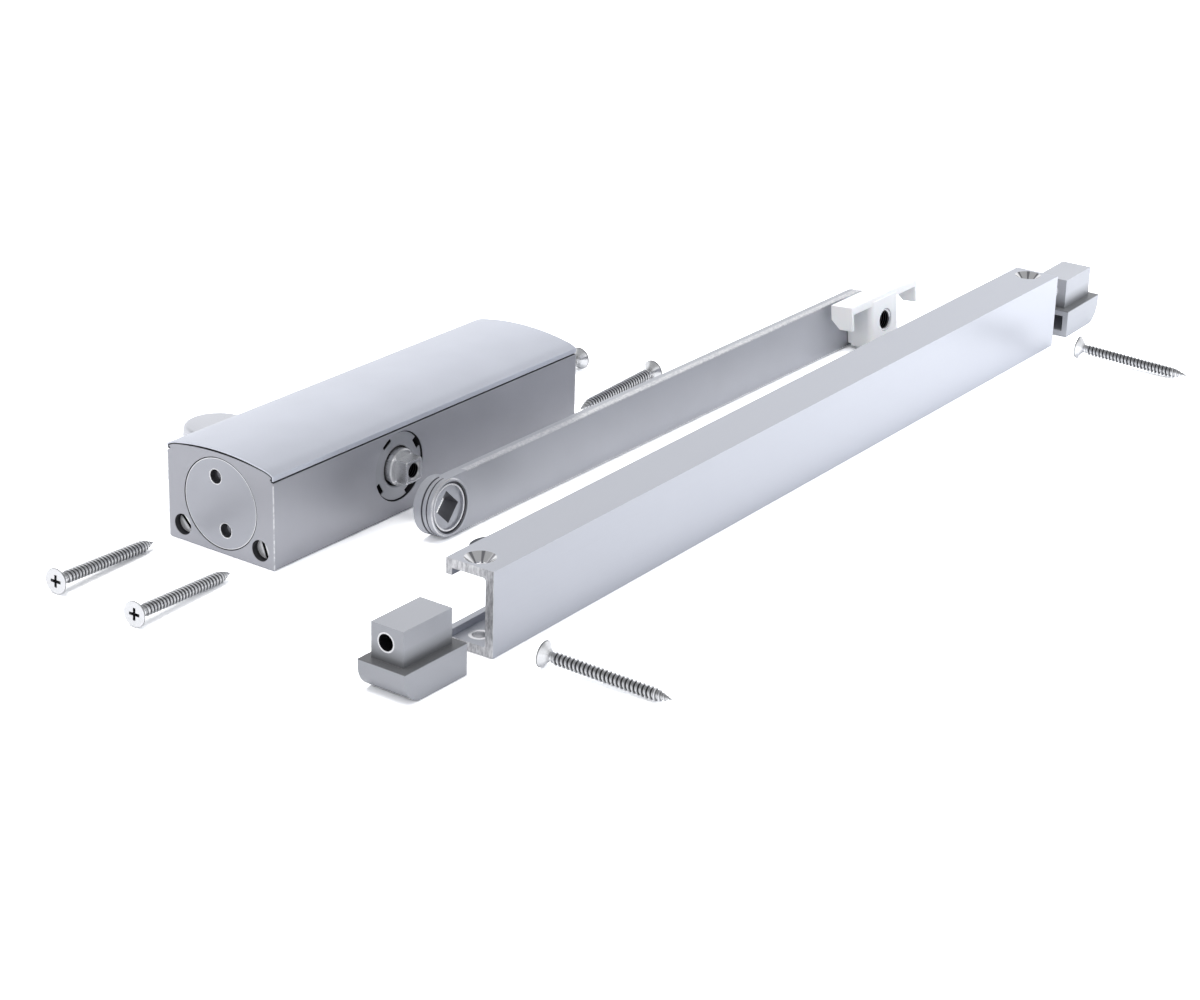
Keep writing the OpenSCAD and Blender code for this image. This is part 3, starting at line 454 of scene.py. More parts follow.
def cover_finish():
    """Paint of the cover: silver outside, with near-black painted shade on the inside, which lies under one wide arc
    in the middle and under a smaller one at each shoulder."""
    f = satin("silver_cover_paint", (0.73, 0.755, 0.835), 0.32, 0.74, peel=0.008)
    y, z = f.axes(f.place)[1:]
    out = f.maths("ABSOLUTE", y)
    under_arc = f.under(f.radius(y, f.maths("ADD", z, CROWN_DOWN * MM)), CROWN_R)
    shoulder = f.radius(f.maths("SUBTRACT", out, SHOULDER_Y * MM), f.maths("SUBTRACT", z, SHOULDER_Z * MM))
    below = f.any_of(f.under(out, CROWN_END), f.under(shoulder, SHOULDER_R))
    inside = f.all_of(under_arc, below, f.under(out, COVER_SIDE))
    # painted shade: the inside is near-black, so that the open joint reads dark
    return f.layer(inside, colour=SHADE_IN_GAPS, rough=0.6, metal=0.2).done()


def valve_finish():
    """Turned steel of the valves' heads, with painted shade in the slot."""
    f = brushed("turned_valve_steel", BRIGHT_STEEL_AND_HIGHLIGHT, 0.34, lay=(1, 1, 1), depth=0.0008, size=0.5, drift=(0.96, 1.02),
                metallic=0.7)
    slot = f.over(f.axes(f.place)[0], VALVE_FACE + VALVE_SLOT)
    # painted shade: near-black in the slot below the face
    return f.layer(slot, colour=SHADE_IN_GAPS, rough=0.5).done()


def plug_paint():
    """Paint of the end plugs: silver on the flange's face, painted shade on its rim, on the spigot behind it and down
    the walls of the pin spanner holes, and a painted highlight of bright metal on the edges of its face and holes."""
    f = satin("silver_plug_paint", (0.495, 0.505, 0.55), 0.38, 0.72)
    x, y, z = f.axes(f.local(BORE, PIN_HOLE_TURN))
    depth = f.maths("SUBTRACT", (BODY_HALF[0] - 0.1) * MM, f.maths("ABSOLUTE", x))
    rim = f.all_of(f.over(depth, 0.08, 0.08), f.over(f.radius(y, z), PLUG_RIM))
    hole = f.radius(y, f.maths("SUBTRACT", f.maths("ABSOLUTE", z), PIN_HOLE_AT * MM))
    wall = f.all_of(f.over(depth, 0.3), f.between(hole, *PIN_HOLE_WALL))
    pilot = f.all_of(f.over(depth, 3.3), f.under(hole, PILOT_R))
    # painted shade: near-black on the rim and in the pilots, dark grey down the holes' walls
    f.layer(f.any_of(rim, pilot), colour=SHADE_IN_GAPS, rough=0.55)
    f.layer(wall, colour=(0.11, 0.11, 0.12), rough=0.4)
    # painted highlight: rings of bright metal on the edges of the face and of the holes
    edges = f.any_of(f.between(f.radius(y, z), *PLUG_HIGHLIGHT, 0.06), f.between(hole, *PIN_HOLE_HIGHLIGHT, 0.08))
    turned = f.all_of(edges, f.under(depth, 0.28, 0.08), f.over(depth, -0.4))
    return f.layer(turned, colour=(0.82, 0.825, 0.84), rough=0.22, metal=1.0).done()


def nut_finish():
    """Paint of the bearing nuts: silver on their faces, painted shade in the notches' roots and round the rim."""
    f = satin("silver_nut_paint", (0.44, 0.45, 0.48), 0.38, 0.75)
    x, y, z = f.axes(f.local(SPINDLE))
    out = f.maths("ABSOLUTE", y)
    rim = f.all_of(f.over(f.radius(x, z), NUT_RIM), f.under(out, BODY_HALF[1] - NUT_RIM_IN))
    notches = f.under(out, BODY_HALF[1] - NOTCH_IN)
    # painted shade: near-black round the rim and in the notches' roots
    return f.layer(f.any_of(rim, notches), colour=SHADE_IN_GAPS, rough=0.6).done()


def spindle_finish():
    """Ground steel of the spindle, with painted highlights along the arrises of its squares, and nearly black painted
    shade in the tapped hole in each end."""
    f = brushed("ground_spindle_steel", (0.56, 0.565, 0.58), 0.30, lay=(1, 0.05, 1), depth=0.0002, metallic=0.85,
                size=0.12, drift=(0.97, 1.02))
    frame_at = f.local(SPINDLE)
    x, y, z = f.axes(frame_at)
    out_x, out_z = f.maths("ABSOLUTE", x), f.maths("ABSOLUTE", z)
    edge = f.between(f.maths("MAXIMUM", out_x, out_z), SQUARE_HALF - 0.8, SQUARE_HALF)
    arris = f.all_of(f.over(out_x, SQUARE_HALF - 0.3), f.over(out_z, SQUARE_HALF - 0.3))
    end = f.all_of(f.over(f.maths("ABSOLUTE", y), SPINDLE_OUT - 0.5), edge)
    # painted highlight: bright metal along the arrises and round the squares' ends
    f.layer(f.any_of(arris, end), colour=(0.9, 0.9, 0.91), rough=0.25, metal=1.0)
    start, mouth = SPINDLE_BORE
    threaded_bore(f, frame_at, SPINDLE_BORE_R, -mouth, -start)
    return threaded_bore(f, frame_at, SPINDLE_BORE_R, start, mouth).done()


def arm_finish():
    """Paint of the arm: silver, with painted shade in the turned grooves round the hub and round the lip in its
    recess, painted highlights of bright metal on the rings of the hub's front and on the lip, painted shade on the
    walls of the square hole, and painted highlights of bright metal along the front of the bar's narrow sides."""
    f = satin("silver_arm_paint", (0.51, 0.52, 0.56), 0.38, 0.66, peel=0.02)
    x, y, z = f.axes(f.local(ARM_HUB, ARM_LEAN))
    reach = f.radius(x, z)
    outer = f.all_of(f.between(reach, *HUB_GROOVE), f.between(y, *HUB_GROOVE_IN))
    inner = f.all_of(f.between(reach, *LIP_GROOVE), f.between(y, *LIP_GROOVE_IN))
    # painted shade in the grooves round the hub and the lip
    f.layer(f.any_of(outer, inner), colour=(0.20, 0.20, 0.22), rough=0.5)
    rim = f.all_of(f.between(reach, *HUB_RIM), f.under(y, HUB_RIM_IN))
    lip = f.all_of(f.between(reach, *HUB_LIP), f.under(y, HUB_LIP_IN))
    # painted highlight: bright rings on the hub's rim and on the lip
    f.layer(f.any_of(rim, lip), colour=TURNED_AND_HIGHLIGHT, rough=0.26, metal=0.9)
    walls = f.all_of(f.under(reach, SQUARE_HOLE), f.between(y, *SQUARE_HOLE_IN, 0.2))
    # painted shade on the walls of the square hole
    f.layer(walls, colour=(0.22, 0.22, 0.24), rough=0.45)
    # painted highlight: bright patches along the front of the bar's narrow sides
    narrow = f.over(f.maths("ABSOLUTE", z), BAR_SIDE, 0.3)
    highlit_sides = f.all_of(narrow, f.over(x, BAR_FROM), f.under(y, BAR_HIGHLIGHT_IN, 1.2))
    bar_highlight_patches = f.spread(f.noise(1.1, 4.0, 0.7), 0.25, 1, 0.4, 0.6)
    return f.layer(f.maths("MULTIPLY", highlit_sides, bar_highlight_patches), colour=(0.86, 0.86, 0.87), rough=0.3, metal=0.9).done()


def pin_finish():
    """Turned steel of the slider's pivot pin, with nearly black painted shade in the tapped hole in its front."""
    f = faced("turned_pin_steel", (0.70, 0.71, 0.73), 0.2, ARM_PIVOT, "Y", ARM_LEAN)
    return threaded_bore(f, f.local(ARM_PIVOT, ARM_LEAN), PIN_BORE_R, *PIN_BORE, 0.06, 0.6).done()


def track_finish():
    """Satin anodised aluminium drawn along its length, with rough saw-cut ends, bright countersinks that have the
    seven chatter marks of the cutter, and a bright burr round the screw holes in the lower flange."""
    f = brushed("track_aluminium", (0.55, 0.565, 0.615), 0.36, turn=TRACK_TURN, metallic=0.6, size=0.3, depth=0.003,
                drift=(0.975, 1.02))
    x, y, z = f.axes(f.local(TRACK_END, TRACK_TURN))
    cut = f.any_of(f.under(x, SAW_CUT), f.over(x, TRACK_L - SAW_CUT))
    saw = f.spread(f.noise(0.9, 3.0, 0.7, f.local(scale=(1, 1, 0.3))), 0, 1, 0.35, 0.65)
    f.layer(cut, colour=TURNED_AND_HIGHLIGHT, rough=0.3)
    f.layer(f.all_of(cut, saw), colour=(0.42, 0.42, 0.44))
    for hole in TRACK_HOLES:
        along, across = f.maths("SUBTRACT", x, hole * MM), f.maths("ADD", y, TRACK_HOLE_IN * MM)
        reach = f.radius(along, across)
        sink = f.all_of(f.under(reach, SINK_R), f.over(z, SINK_FROM))
        chatter = f.maths("SINE", f.maths("MULTIPLY", f.maths("ARCTAN2", along, across), CHATTER_MARKS))
        f.layer(sink, colour=(0.88, 0.88, 0.89), rough=0.14, metal=1.0)
        f.layer(f.all_of(sink, f.spread(chatter, 0, 1, 0.45, 0.85)), colour=(0.34, 0.34, 0.36))
        burr = f.all_of(f.under(reach, BURR_R), f.under(z, BURR_TOP))
        f.layer(burr, colour=(0.86, 0.86, 0.88), rough=0.2, metal=0.9)
    return f.done()


def cap_finish(side):
    """Satin grey paint of an end cap, with painted shade in the corner between the head and the plug and down its
    cross bore, and a bright turned edge round the bore's mouths."""
    f = satin(side + "_cap_paint", (0.435, 0.445, 0.48), 0.32, 0.3, peel=0.010)
    z = f.axes(f.place)[2]
    # painted shade: darker in the corner just above the ledge, fading upwards
    fading = f.spread(z, 1, 0, (CAP_LEDGE + 0.1) * MM, (CAP_LEDGE + CAP_SHADE) * MM)
    corner = f.all_of(f.over(z, CAP_LEDGE - 0.25, 0.3), fading)
    f.layer(corner, colour=(0.15, 0.152, 0.16))
    bore = next(m for m in frame["record"]["mounts"] if m["name"] == side + "_cap_cross_bore")
    yaw = math.degrees(math.atan2(bore["axis"][1], bore["axis"][0]))
    x, y, z = f.axes(f.local([c / MM for c in bore["pos_m"]], (0, 0, yaw)))
    reach = f.radius(y, z)
    f.layer(f.between(reach, *CAP_BORE_EDGE, 0.15), colour=TURNED_AND_HIGHLIGHT, rough=0.25, metal=0.9)
    # painted shade: nearly black down the cross bore
    return f.layer(f.under(reach, CAP_BORE_R, 0.1), colour=(0.05, 0.05, 0.055), rough=0.5).done()


def screw_finish():
    """Bright plating of the tapping screws: steel on crests, rim and face, and painted shade in the thread's roots
    and the recess, by the piece's own number root."""
    f = brushed("bright_screw_plating", (0.84, 0.845, 0.86), 0.2, lay=(1, 1, 1), depth=0.002, size=0.5)
    root = f.node("ShaderNodeAttribute", attribute_name="root").outputs["Fac"]
    # painted shade, as much as each point's number root says
    return f.layer(f.spread(root, 0, 1, 0.1, 1.0), colour=(0.022, 0.022, 0.025), rough=0.45).done()


body_paint = casting_paint()
cover_paint = cover_finish()
plug_silver = plug_paint()
nut_silver = nut_finish()
arm_paint = arm_finish()
near_cap_paint, far_cap_paint = cap_finish("near"), cap_finish("far")
track_metal = track_finish()
spindle_steel = spindle_finish()
screw_plate = screw_finish()
pin_steel = pin_finish()
valve_steel = valve_finish()
bearing_steel = brushed("drawn_bearing_steel", (0.66, 0.67, 0.70), 0.28, lay=(1, 0.2, 1), depth=0.002).done()
piston_iron = faced("machined_piston_iron", (0.34, 0.35, 0.37), 0.38, BORE, "X", ring=0.5).done()
spring_steel = brushed("oiled_spring_wire", (0.22, 0.23, 0.25), 0.3, lay=(1, 1, 1), depth=0.003, size=0.6).done()
seat_brass = faced("turned_brass", (0.72, 0.55, 0.26), 0.3, BORE, "X").done()
ball_steel = brushed("polished_ball_steel", (0.80, 0.81, 0.84), 0.07, lay=(1, 1, 1), depth=0.0005, size=0.4).done()
black_rubber = moulded("black_seal_rubber", (0.018, 0.018, 0.02), 0.6).done()
white_nylon = moulded("white_nylon", (0.95, 0.955, 0.965), 0.40, Subsurface_Weight=0.1,
                      Subsurface_Scale=0.002).done()
silver_moulding = moulded("silver_moulding", (0.72, 0.73, 0.775), 0.30, grain=0.2, depth=0.003,
                          metallic=0.7).done()
dark_moulding = moulded("dark_grey_moulding", (0.075, 0.08, 0.09), 0.42).done()
dark_screw = faced("phosphated_screw", (0.20, 0.205, 0.215), 0.38, middle("arm_screw"), "X").done()


# Fixing screws

SCREW_L, HEAD_R, CREST_R, ROOT_R, PITCH = 50.0, 4.7, 2.38, 1.72, 1.6
THREAD_FROM = 3.4                    # where the thread starts under the head
RUN_IN, RUN_OUT, TAPER_L = 2.0, 7.5, 6.0  # lengths over which the thread rises and fades, and the core tapers
POINT_L = 0.6                        # bare tip
CROSS_HALF, CROSS_FLOOR = 0.55, 0.8  # half the width of the recess's arms, and the share of it that is floor
CROSS_MOST = 44                      # widest angle from the middle of an arm to its wall
# The head's rows: their radii and places along the axis, and how many of them lie in the recess
HEAD_RADII = (0.0, 0.35, 0.8, 1.3, 1.8, 2.15, 2.3, 2.75, 3.6, 4.5, HEAD_R, HEAD_R, 4.45, 3.6, 2.7, ROOT_R, ROOT_R)
HEAD_ALONG = (2.3, 2.15, 1.95, 1.75, 1.5, 1.25, 0.02, 0, 0, 0, 0.12, 0.34, 0.62, 1.35, 2.1, 2.9, THREAD_FROM)
RECESS_ROWS, BETWEEN_ARMS = 6, 7     # and how many columns lie between two arms of the cross
# The thread's rows in one pitch: how far along it, how much of the ridge's height, and how much painted shade
THREAD_ROWS = ((0.0, 0.22, 0.44, 0.62, 0.72, 0.92), (0.0, 0.0, 0.0, 1.0, 1.0, 0.0), (1.0, 0.2, 1.0, 0.0, 0.0, 1.0))
# A screw on the table rests on its head's rim and, REST_AT from the head's face, on its thread
REST_R, REST_AT = 2.4, 45.0
# Where each head's face stands and the way its point lies: the closer's four, and the track's two, which are
# measured along and across the track from its corner
CLOSER_SCREWS = ((-149.1, 19.5, 2.7), (-151.3, -20.1, 3.1), (155.9, -14.8, 179.6), (148.9, 17.7, 180.0))
TRACK_SCREWS = ((6.0, -36.1, -87.4), (393.6, -35.2, -87.0))


def screw_surface():
    """Countersunk tapping screw along +X from its head's flat face at the origin, as one closed grid. Columns run
    round the axis and follow the sides of the cross recess: in each quarter, two columns lie on each wall of an arm
    of the cross, at angle asin(half width / radius) from the arm's middle, capped at 44 degrees. Rows run from the
    recess's middle out over the face, round the rim, down the cone, and along the thread, where
    x = start + pitch (row / 6 + angle / full turn), so that one turn joins the next six rows further on. The third
    result is how much painted shade each point gets: in the recess, at the rim and in the thread's roots."""
    radii, along = np.array(HEAD_RADII), np.array(HEAD_ALONG)
    inside = (np.arange(len(radii)) < RECESS_ROWS).astype(float)
    most = math.sin(math.radians(CROSS_MOST))
    limit = np.degrees(np.arcsin(np.clip(CROSS_HALF / np.maximum(radii, 1e-6), 0, most)))
    share = np.array([-1.0, -CROSS_FLOOR, 0.0, CROSS_FLOOR, 1.0])
    between = np.linspace(0, 1, BETWEEN_ARMS + 2)[1:-1]
    columns, sunk = [], []
    for quarter in range(4):
        for s in share:
            columns.append(90 * quarter + limit * s)
            sunk.append(1.0 if abs(s) < 1 else 0.0)
        for b in between:
            columns.append(90 * quarter + limit + (90 - 2 * limit) * b)
            sunk.append(0.0)
    angle = np.radians(np.array(columns)).T
    sunk = np.array(sunk)
    x = np.where(inside[:, None] * sunk > 0, along[:, None], np.where(inside > 0, 0.0, along)[:, None])
    x = np.where((radii[:, None] < 0.6) & (inside[:, None] > 0), along[:, None], x)
    head = np.stack([x, radii[:, None] * np.cos(angle), radii[:, None] * np.sin(angle)], -1)
    # painted shade: in the recess, a little on the face and cone, heavy at the rim, under the head and in the roots
    dark = np.where(inside[:, None] > 0, np.clip(x / 0.5, 0, 1), 0.0)
    dark[(radii > 2.2) & (radii < 4.6)] += 0.1    # face and cone
    dark[radii > 4.6] = 0.8                       # rim
    dark[-2:] = 0.4                               # under the head
    even = angle[-1]
    turn = (even - even[0]) / (2 * math.pi)
    phase, height, shadow = np.array(THREAD_ROWS)
    turns = int((SCREW_L - THREAD_FROM) / PITCH) + 2
    step = (np.arange(-1, turns)[:, None] + phase).ravel()
    ridge = np.tile(height, turns + 1)
    down = np.clip(THREAD_FROM + PITCH * (step[:, None] + turn), THREAD_FROM, SCREW_L)
    fade = np.clip((down - THREAD_FROM) / RUN_IN, 0, 1) * np.clip((SCREW_L - POINT_L - down) / RUN_OUT, 0, 1) ** 0.7
    root = ROOT_R * np.clip((SCREW_L - down) / TAPER_L, 0, 1) ** 0.8
    reach = root + (CREST_R - ROOT_R) * ridge[:, None] * fade
    thread = np.stack([down, reach * np.cos(even), reach * np.sin(even)], -1)
    points = np.concatenate([head.reshape(-1, 3), thread.reshape(-1, 3)])
    point_shade = np.concatenate([dark.ravel(), (np.tile(shadow, turns + 1)[:, None] * (0.3 + 0.7 * fade)).ravel()])
    count = len(even)
    thread_faces = grid_faces(len(step), count, len(phase)) + len(radii) * count
    return points, np.concatenate([grid_faces(len(radii), count), thread_faces]), point_shade


# Springs

# Node, radius of the coil to the wire's middle, radius of the wire, and turns
SPRINGS = (("outer_spring", 12.4, 1.9, 11), ("inner_spring", 8.2, 1.2, 18))
END_GAP = 0.45                       # between the closed turns at a spring's ends
WIRE_SIDES, TURN_RINGS = 18, 40      # points round the wire, and rings of them in a turn


def wire_spring(coil_r, wire_r, turns, low, high, centre):
    """Closed-end compression spring along X: the wire's centre is at coil radius (cos, sin) of its angle, its lead is
    two wire radii plus a small gap in the first and last turn and even between them, and a ring of points stands
    round it in the plane across the wire."""
    length, close = high - low, 2 * wire_r + END_GAP
    u = np.linspace(0, turns, turns * TURN_RINGS + 1)
    free = (length - 2 * wire_r - 2 * close) / (turns - 2)
    x = wire_r + np.interp(u, [0, 1, turns - 1, turns], [0, close, close + free * (turns - 2), length - 2 * wire_r])
    a = 2 * math.pi * u
    out = np.stack([0 * a, np.cos(a), np.sin(a)], -1)
    path = np.stack([low + x, coil_r * np.cos(a), coil_r * np.sin(a)], -1) + np.array([0, centre[1], centre[2]])
    along = np.gradient(path, axis=0)
    along /= np.linalg.norm(along, axis=1, keepdims=True)
    up = np.cross(along, out)
    t = np.linspace(0, 2 * math.pi, WIRE_SIDES, endpoint=False)
    ring = path[:, None] + wire_r * (np.cos(t)[:, None] * out[:, None] + np.sin(t)[:, None] * up[:, None])
    start, end = (np.repeat(path[k][None], WIRE_SIDES, 0)[None] for k in (0, -1))
    rows = np.concatenate([start, ring, end])
    return rows.reshape(-1, 3), grid_faces(len(rows), WIRE_SIDES)


# The pieces: nodes whose shape is right keep their solid, and the rest are dressed or replaced

# Edges of the casting that are rounded wide: from where, up to where, and clear of the plugs' seats and of the
# valves' bores, by radius
END_FROM, END_TOP, PLUG_SEAT, VALVE_AT, VALVE_BORE = 87.3, 33.6, 17.9, (18.65, 6.1), 4.4
# Those of the bar, clear of the hub and of the pivot's hole; of the spindle's squares, outside the closer's sides
# and clear of the axis; and of an end cap's head, at its foot and at its ledge
BAR_EDGES_FROM, PIVOT_HOLE = -10, 6
SQUARE_FROM, SQUARE_TO, CORNER_REACH = 2.2, 6.0, 5.5
HEAD_FOOT, HEAD_LEDGE = 2.0, (10.8, 12.2)

finishes = {
    "far_plug_seal": black_rubber, "near_plug_seal": black_rubber, "front_bearing": bearing_steel,
    "back_bearing": bearing_steel, "front_spindle_seal": black_rubber, "back_spindle_seal": black_rubber,
    "piston": piston_iron, "piston_ring": black_rubber, "check_valve_seat": seat_brass,
    "check_valve_ball": ball_steel, "sweep_valve_seal": black_rubber, "latch_valve_seal": black_rubber,
}
for node, finish in finishes.items():
    solid = frame["nodes"][node]
    solid.data.materials.clear()
    solid.data.materials.append(finish)


def housing_outline(x, y, z):
    """Edges of the casting's ends, apart from the seats of the plugs and the mouths of the valves' bores."""
    off_plug = np.hypot(y, z - BORE[2]) > PLUG_SEAT
    off_valves = np.hypot(np.abs(y) - VALVE_AT[0], z - VALVE_AT[1]) > VALVE_BORE
    return (np.abs(x) > END_FROM) & off_plug & off_valves & (z < END_TOP)


def bar_edges(x, y, z):
    """Long edges of the arm's bar, clear of the hub and the pivot's hole."""
    off_pivot = np.hypot(x - ARM_PIVOT[0], z - ARM_PIVOT[2]) > PIVOT_HOLE
    return (x > BAR_EDGES_FROM) & off_pivot


def square_corners(x, y, z):
    """Long edges of the spindle's square ends, between the journals and the end chamfers."""
    out = np.abs(y) - BODY_HALF[1]
    corner = np.hypot(x - SPINDLE[0], z - SPINDLE[2]) > CORNER_REACH
    return (out > SQUARE_FROM) & (out < SQUARE_TO) & corner


def cap_outer(x, y, z):
    """Edges of an end cap's head, apart from its cross bore and its pocket."""
    return (z < HEAD_FOOT) | ((z > HEAD_LEDGE[0]) & (z < HEAD_LEDGE[1]))


eased("housing", body_paint, "closer", 0.1, 0.35, housing_outline)
eased("cover", cover_paint, "cover", 0.22, segments=2)
eased("near_end_plug", plug_silver, "closer", 0.2)
eased("far_end_plug", plug_silver, "closer", 0.2)
eased("front_bearing_nut", nut_silver, "closer", 0.2)
eased("back_bearing_nut", nut_silver, "closer", 0.2)
eased("spindle", spindle_steel, "spindle", 0.02, 0.14, square_corners, segments=2)
eased("sweep_valve", valve_steel, "sweep_valve", 0.12)
eased("latch_valve", valve_steel, "latch_valve", 0.12)
eased("arm", arm_paint, "arm", 0.18, 0.7, bar_edges)
eased("slider", white_nylon, "slider", 0.4)
eased("slider_pin", pin_steel, "arm", 0.15)
eased("track", track_metal, "track", 0.25)
eased("near_end_cap", near_cap_paint, "near_end_cap", 0.45, 0.8, cap_outer, segments=4)
eased("far_end_cap", far_cap_paint, "far_end_cap", 0.45, 0.8, cap_outer, segments=4)
eased("spindle_cap", silver_moulding, "spindle_cap", 0.3)
eased("hub_cap", dark_moulding, "hub_cap", 0.3)
eased("arm_screw", dark_screw, "arm_screw", 0.2)

screw_points, screw_faces, screw_painted_shade = screw_surface()
tilt = math.degrees(math.atan((HEAD_R - REST_R) / REST_AT))
screws = list(CLOSER_SCREWS)
track_turn = math.radians(TRACK_TURN[2])
for along, across, yaw in TRACK_SCREWS:
    screws.append((TRACK_END[0] + along * math.cos(track_turn) - across * math.sin(track_turn),
                   TRACK_END[1] + along * math.sin(track_turn) + across * math.cos(track_turn), yaw + TRACK_TURN[2]))
laid, joined = [], []
for n, (x, y, yaw) in enumerate(screws):
    turn = turn_about("Z", yaw) @ turn_about("Y", tilt)
    laid.append(screw_points @ turn.T + [x, y, HEAD_R * math.cos(math.radians(tilt))])
    joined.append(screw_faces + n * len(screw_points))
# root carries each point's painted shade
add_piece("tapping_screws", np.concatenate(laid), np.concatenate(joined), screw_plate, "fixing_screws",
          ("fixing_screws",), 50, {"root": np.tile(screw_painted_shade, len(screws))})

axis = middle("piston")
for node, coil_r, wire_r, turns in SPRINGS:
    low, high = corners(node)
    points, faces = wire_spring(coil_r, wire_r, turns, low[0], high[0], axis)
    coil = add_piece(node + "_wire", points, faces, spring_steel, "closer", (node,), 60)
    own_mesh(coil)


# Table, light and camera

TABLE_REACH, TABLE_DOWN = 12.0, 0.15  # half the table in metres, and how far its top lies under the set
FLOOR_LIT = (0.55, 0.56, 0.58)       # what the table throws back on the set
FLOOR_IN_GLOSS = (0.96, 0.965, 0.98)  # what the gloss sees of it
FLOOR_SEEN = (1.7, 1.705, 1.715)     # what the camera sees of it
AROUND, AROUND_TINT = 0.37, (0.94, 0.96, 1.0)  # strength and colour of the even light from all round
GLOSS_TINT = (0.97, 0.98, 1.0)       # colour of the surround that gloss sees
GLOSS_HIGH = 0.42                    # how bright it is overhead, against 1 low down
GLOSS_FALL = (0.36, 0.66)            # heights between which it dims, where 0 is straight down and 1 straight up
# Suns: strength, spread, and tilt about X and Y
SUNS = (("sky_light", 1.95, 38, -12, -6), ("end_light", 0.9, 50, 10, -62))
SUN_TINT = (1.0, 0.995, 0.985)
# Soft box: strength, colour, sides, where it stands and what it is aimed at, in metres
BOX_STRENGTH, BOX_TINT, BOX_SIDES = 2.1, (0.93, 0.96, 1.0), (0.5, 0.4)
BOX_STAND, BOX_AIM = (0.42, -0.42, 0.22), (0.30, -0.12, 0.015)
# Camera: focal length and picture width in pixels, its place, and the ways that the picture's right, its foot and
# the view point
FOCAL, PICTURE_W, SENSOR_W = 2940.569, 1200.0, 36.0
CAMERA_AT = (-785.239, -667.614, 421.079)
CAMERA_RIGHT = (0.59300606, -0.80478335, 0.0258375)
CAMERA_DOWN = (-0.29430491, -0.24650397, -0.92337447)
CAMERA_AHEAD = (0.74948544, 0.53996255, -0.38303004)


def pale_floor():
    """A wide table top whose white is a little lifted for the camera and for gloss, so that only shadows show."""
    square = ((-1, -1), (1, -1), (1, 1), (-1, 1))
    mesh = bpy.data.meshes.new("table_top")
    mesh.from_pydata([(x * TABLE_REACH, y * TABLE_REACH, -TABLE_DOWN * MM) for x, y in square], [], [(0, 1, 2, 3)])
    made = bpy.data.materials.new("white_table")
    made.use_nodes = True
    tree = made.node_tree
    shader = tree.nodes["Principled BSDF"]
    shader.inputs["Roughness"].default_value = 0.9
    shader.inputs["Specular IOR Level"].default_value = 0.0
    path = tree.nodes.new("ShaderNodeLightPath").outputs
    under, over, out = MIX_COLOURS
    shown = None
    for ray, seen in (("Is Glossy Ray", FLOOR_IN_GLOSS), ("Is Transmission Ray", FLOOR_SEEN),
                      ("Is Camera Ray", FLOOR_SEEN)):
        mix = tree.nodes.new("ShaderNodeMix")
        mix.data_type = "RGBA"
        tree.links.new(path[ray], mix.inputs[0])
        if shown is None:
            mix.inputs[under].default_value = (*FLOOR_LIT, 1)
        else:
            tree.links.new(shown, mix.inputs[under])
        mix.inputs[over].default_value = (*seen, 1)
        shown = mix.outputs[out]
    tree.links.new(shown, shader.inputs["Base Color"])
    mesh.materials.append(made)
    top = bpy.data.objects.new("table_top", mesh)
    bpy.context.scene.collection.objects.link(top)


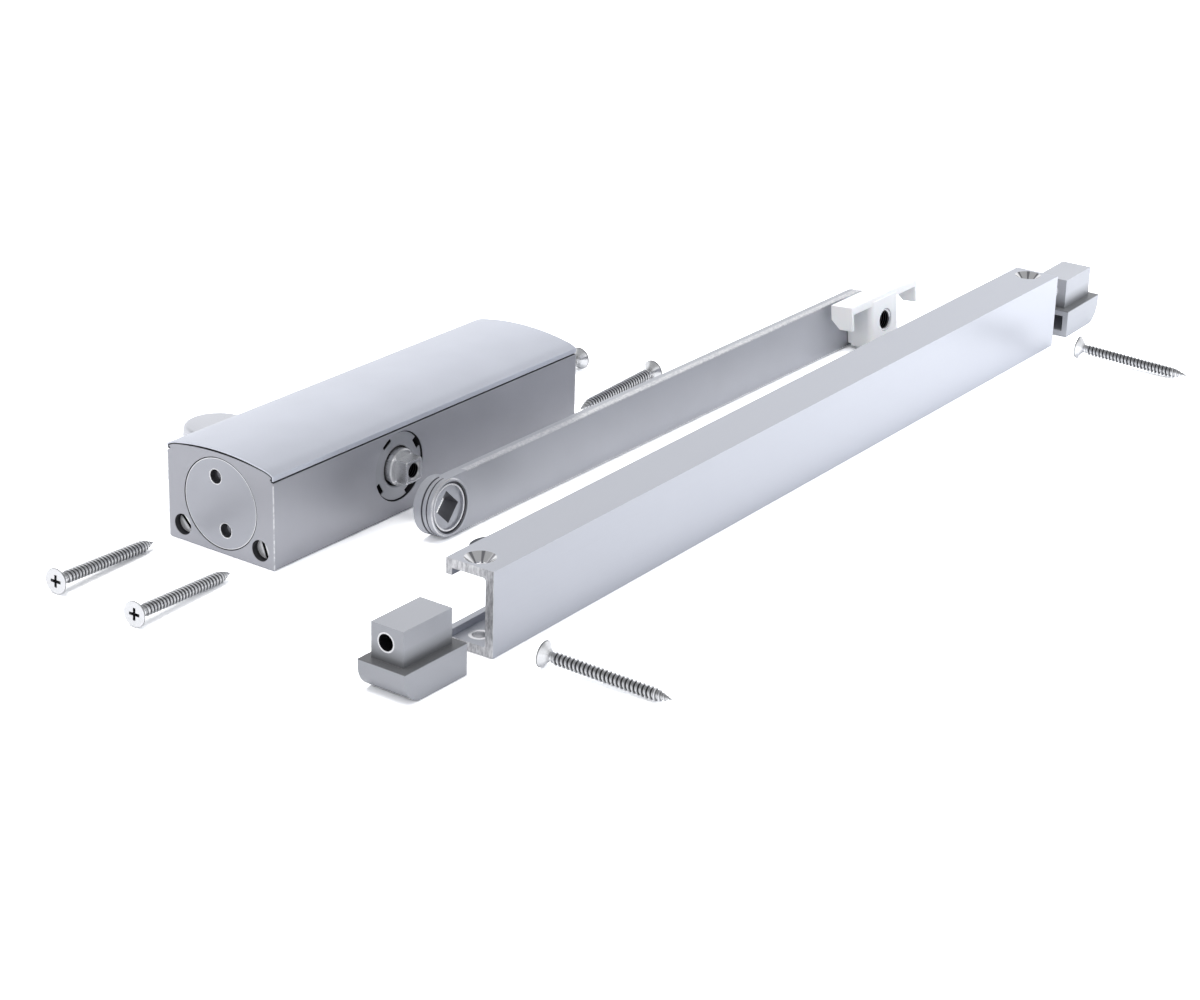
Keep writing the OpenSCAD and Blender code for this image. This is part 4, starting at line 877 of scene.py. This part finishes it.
def studio_light():
    """Even light from all round, soft suns from above and behind and at the near end, and a soft box low at the far
    end in front. Gloss sees a white backdrop low down and a dimmer ceiling."""
    world = bpy.data.worlds.new("studio")
    world.use_nodes = True
    bpy.context.scene.world = world
    tree = world.node_tree
    tree.nodes.clear()
    path = tree.nodes.new("ShaderNodeLightPath").outputs

    def joined(kind, *sources):
        """A node of that kind with the sources in its first inputs."""
        made = tree.nodes.new(kind)
        for source, socket in zip(sources, made.inputs):
            tree.links.new(source, socket)
        return made

    def sky(colour, strength):
        """A surround of one colour and strength."""
        made = tree.nodes.new("ShaderNodeBackground")
        made.inputs["Color"].default_value = (*colour, 1)
        made.inputs["Strength"].default_value = strength
        return made

    height = joined("ShaderNodeSeparateXYZ", tree.nodes.new("ShaderNodeTexCoord").outputs["Generated"])
    falling = joined("ShaderNodeMapRange", height.outputs["Z"])
    falling.interpolation_type = "SMOOTHSTEP"
    for key, value in (("From Min", GLOSS_FALL[0]), ("From Max", GLOSS_FALL[1]), ("To Min", 1.0),
                       ("To Max", GLOSS_HIGH)):
        falling.inputs[key].default_value = value
    gloss = sky(GLOSS_TINT, 1.0)
    tree.links.new(falling.outputs["Result"], gloss.inputs["Strength"])
    lit = joined("ShaderNodeMixShader", path["Is Glossy Ray"], sky(AROUND_TINT, AROUND).outputs[0], gloss.outputs[0])
    looked_at = joined("ShaderNodeMath", path["Is Camera Ray"], path["Is Transmission Ray"])
    looked_at.operation = "MAXIMUM"
    seen = joined("ShaderNodeMixShader", looked_at.outputs[0], lit.outputs[0], sky((1, 1, 1), 1.0).outputs[0])
    tree.links.new(seen.outputs[0], tree.nodes.new("ShaderNodeOutputWorld").inputs["Surface"])
    for name, strength, spread, tilt_x, tilt_y in SUNS:
        lamp = bpy.data.lights.new(name, "SUN")
        lamp.energy = strength
        lamp.angle = math.radians(spread)
        lamp.color = SUN_TINT
        place_lamp(name, lamp, Matrix.Rotation(math.radians(tilt_y), 4, "Y")
                   @ Matrix.Rotation(math.radians(tilt_x), 4, "X"))
    box = bpy.data.lights.new("far_soft_box", "AREA")
    box.shape = "RECTANGLE"
    box.size, box.size_y = BOX_SIDES
    box.energy = BOX_STRENGTH
    box.color = BOX_TINT
    stand = Vector(BOX_STAND)
    aim = Vector(BOX_AIM) - stand
    place_lamp("far_soft_box", box, Matrix.Translation(stand) @ aim.to_track_quat("-Z", "Y").to_matrix().to_4x4())


def place_lamp(name, lamp, place):
    """Puts a lamp where its matrix says. Gloss sees only the surround, so no lamp burns out a pale top."""
    placed = bpy.data.objects.new(name, lamp)
    placed.matrix_world = place
    placed.visible_glossy = False
    bpy.context.scene.collection.objects.link(placed)


def camera():
    """The camera stands where the photograph's perspective puts it, and looks along the fitted direction."""
    data = bpy.data.cameras.new("camera")
    data.sensor_fit = "HORIZONTAL"
    data.sensor_width = SENSOR_W
    data.lens = FOCAL * SENSOR_W / PICTURE_W
    data.clip_start, data.clip_end = 0.01, 100.0
    placed = bpy.data.objects.new("camera", data)
    matrix = np.eye(4)
    matrix[:3, 0], matrix[:3, 1], matrix[:3, 2] = CAMERA_RIGHT, -np.array(CAMERA_DOWN), -np.array(CAMERA_AHEAD)
    matrix[:3, 3] = np.array(CAMERA_AT) * MM
    placed.matrix_world = Matrix(matrix.tolist())
    bpy.context.scene.collection.objects.link(placed)
    bpy.context.scene.camera = placed


pale_floor()
studio_light()
camera()
bpy.context.scene.view_settings.view_transform = "Standard"
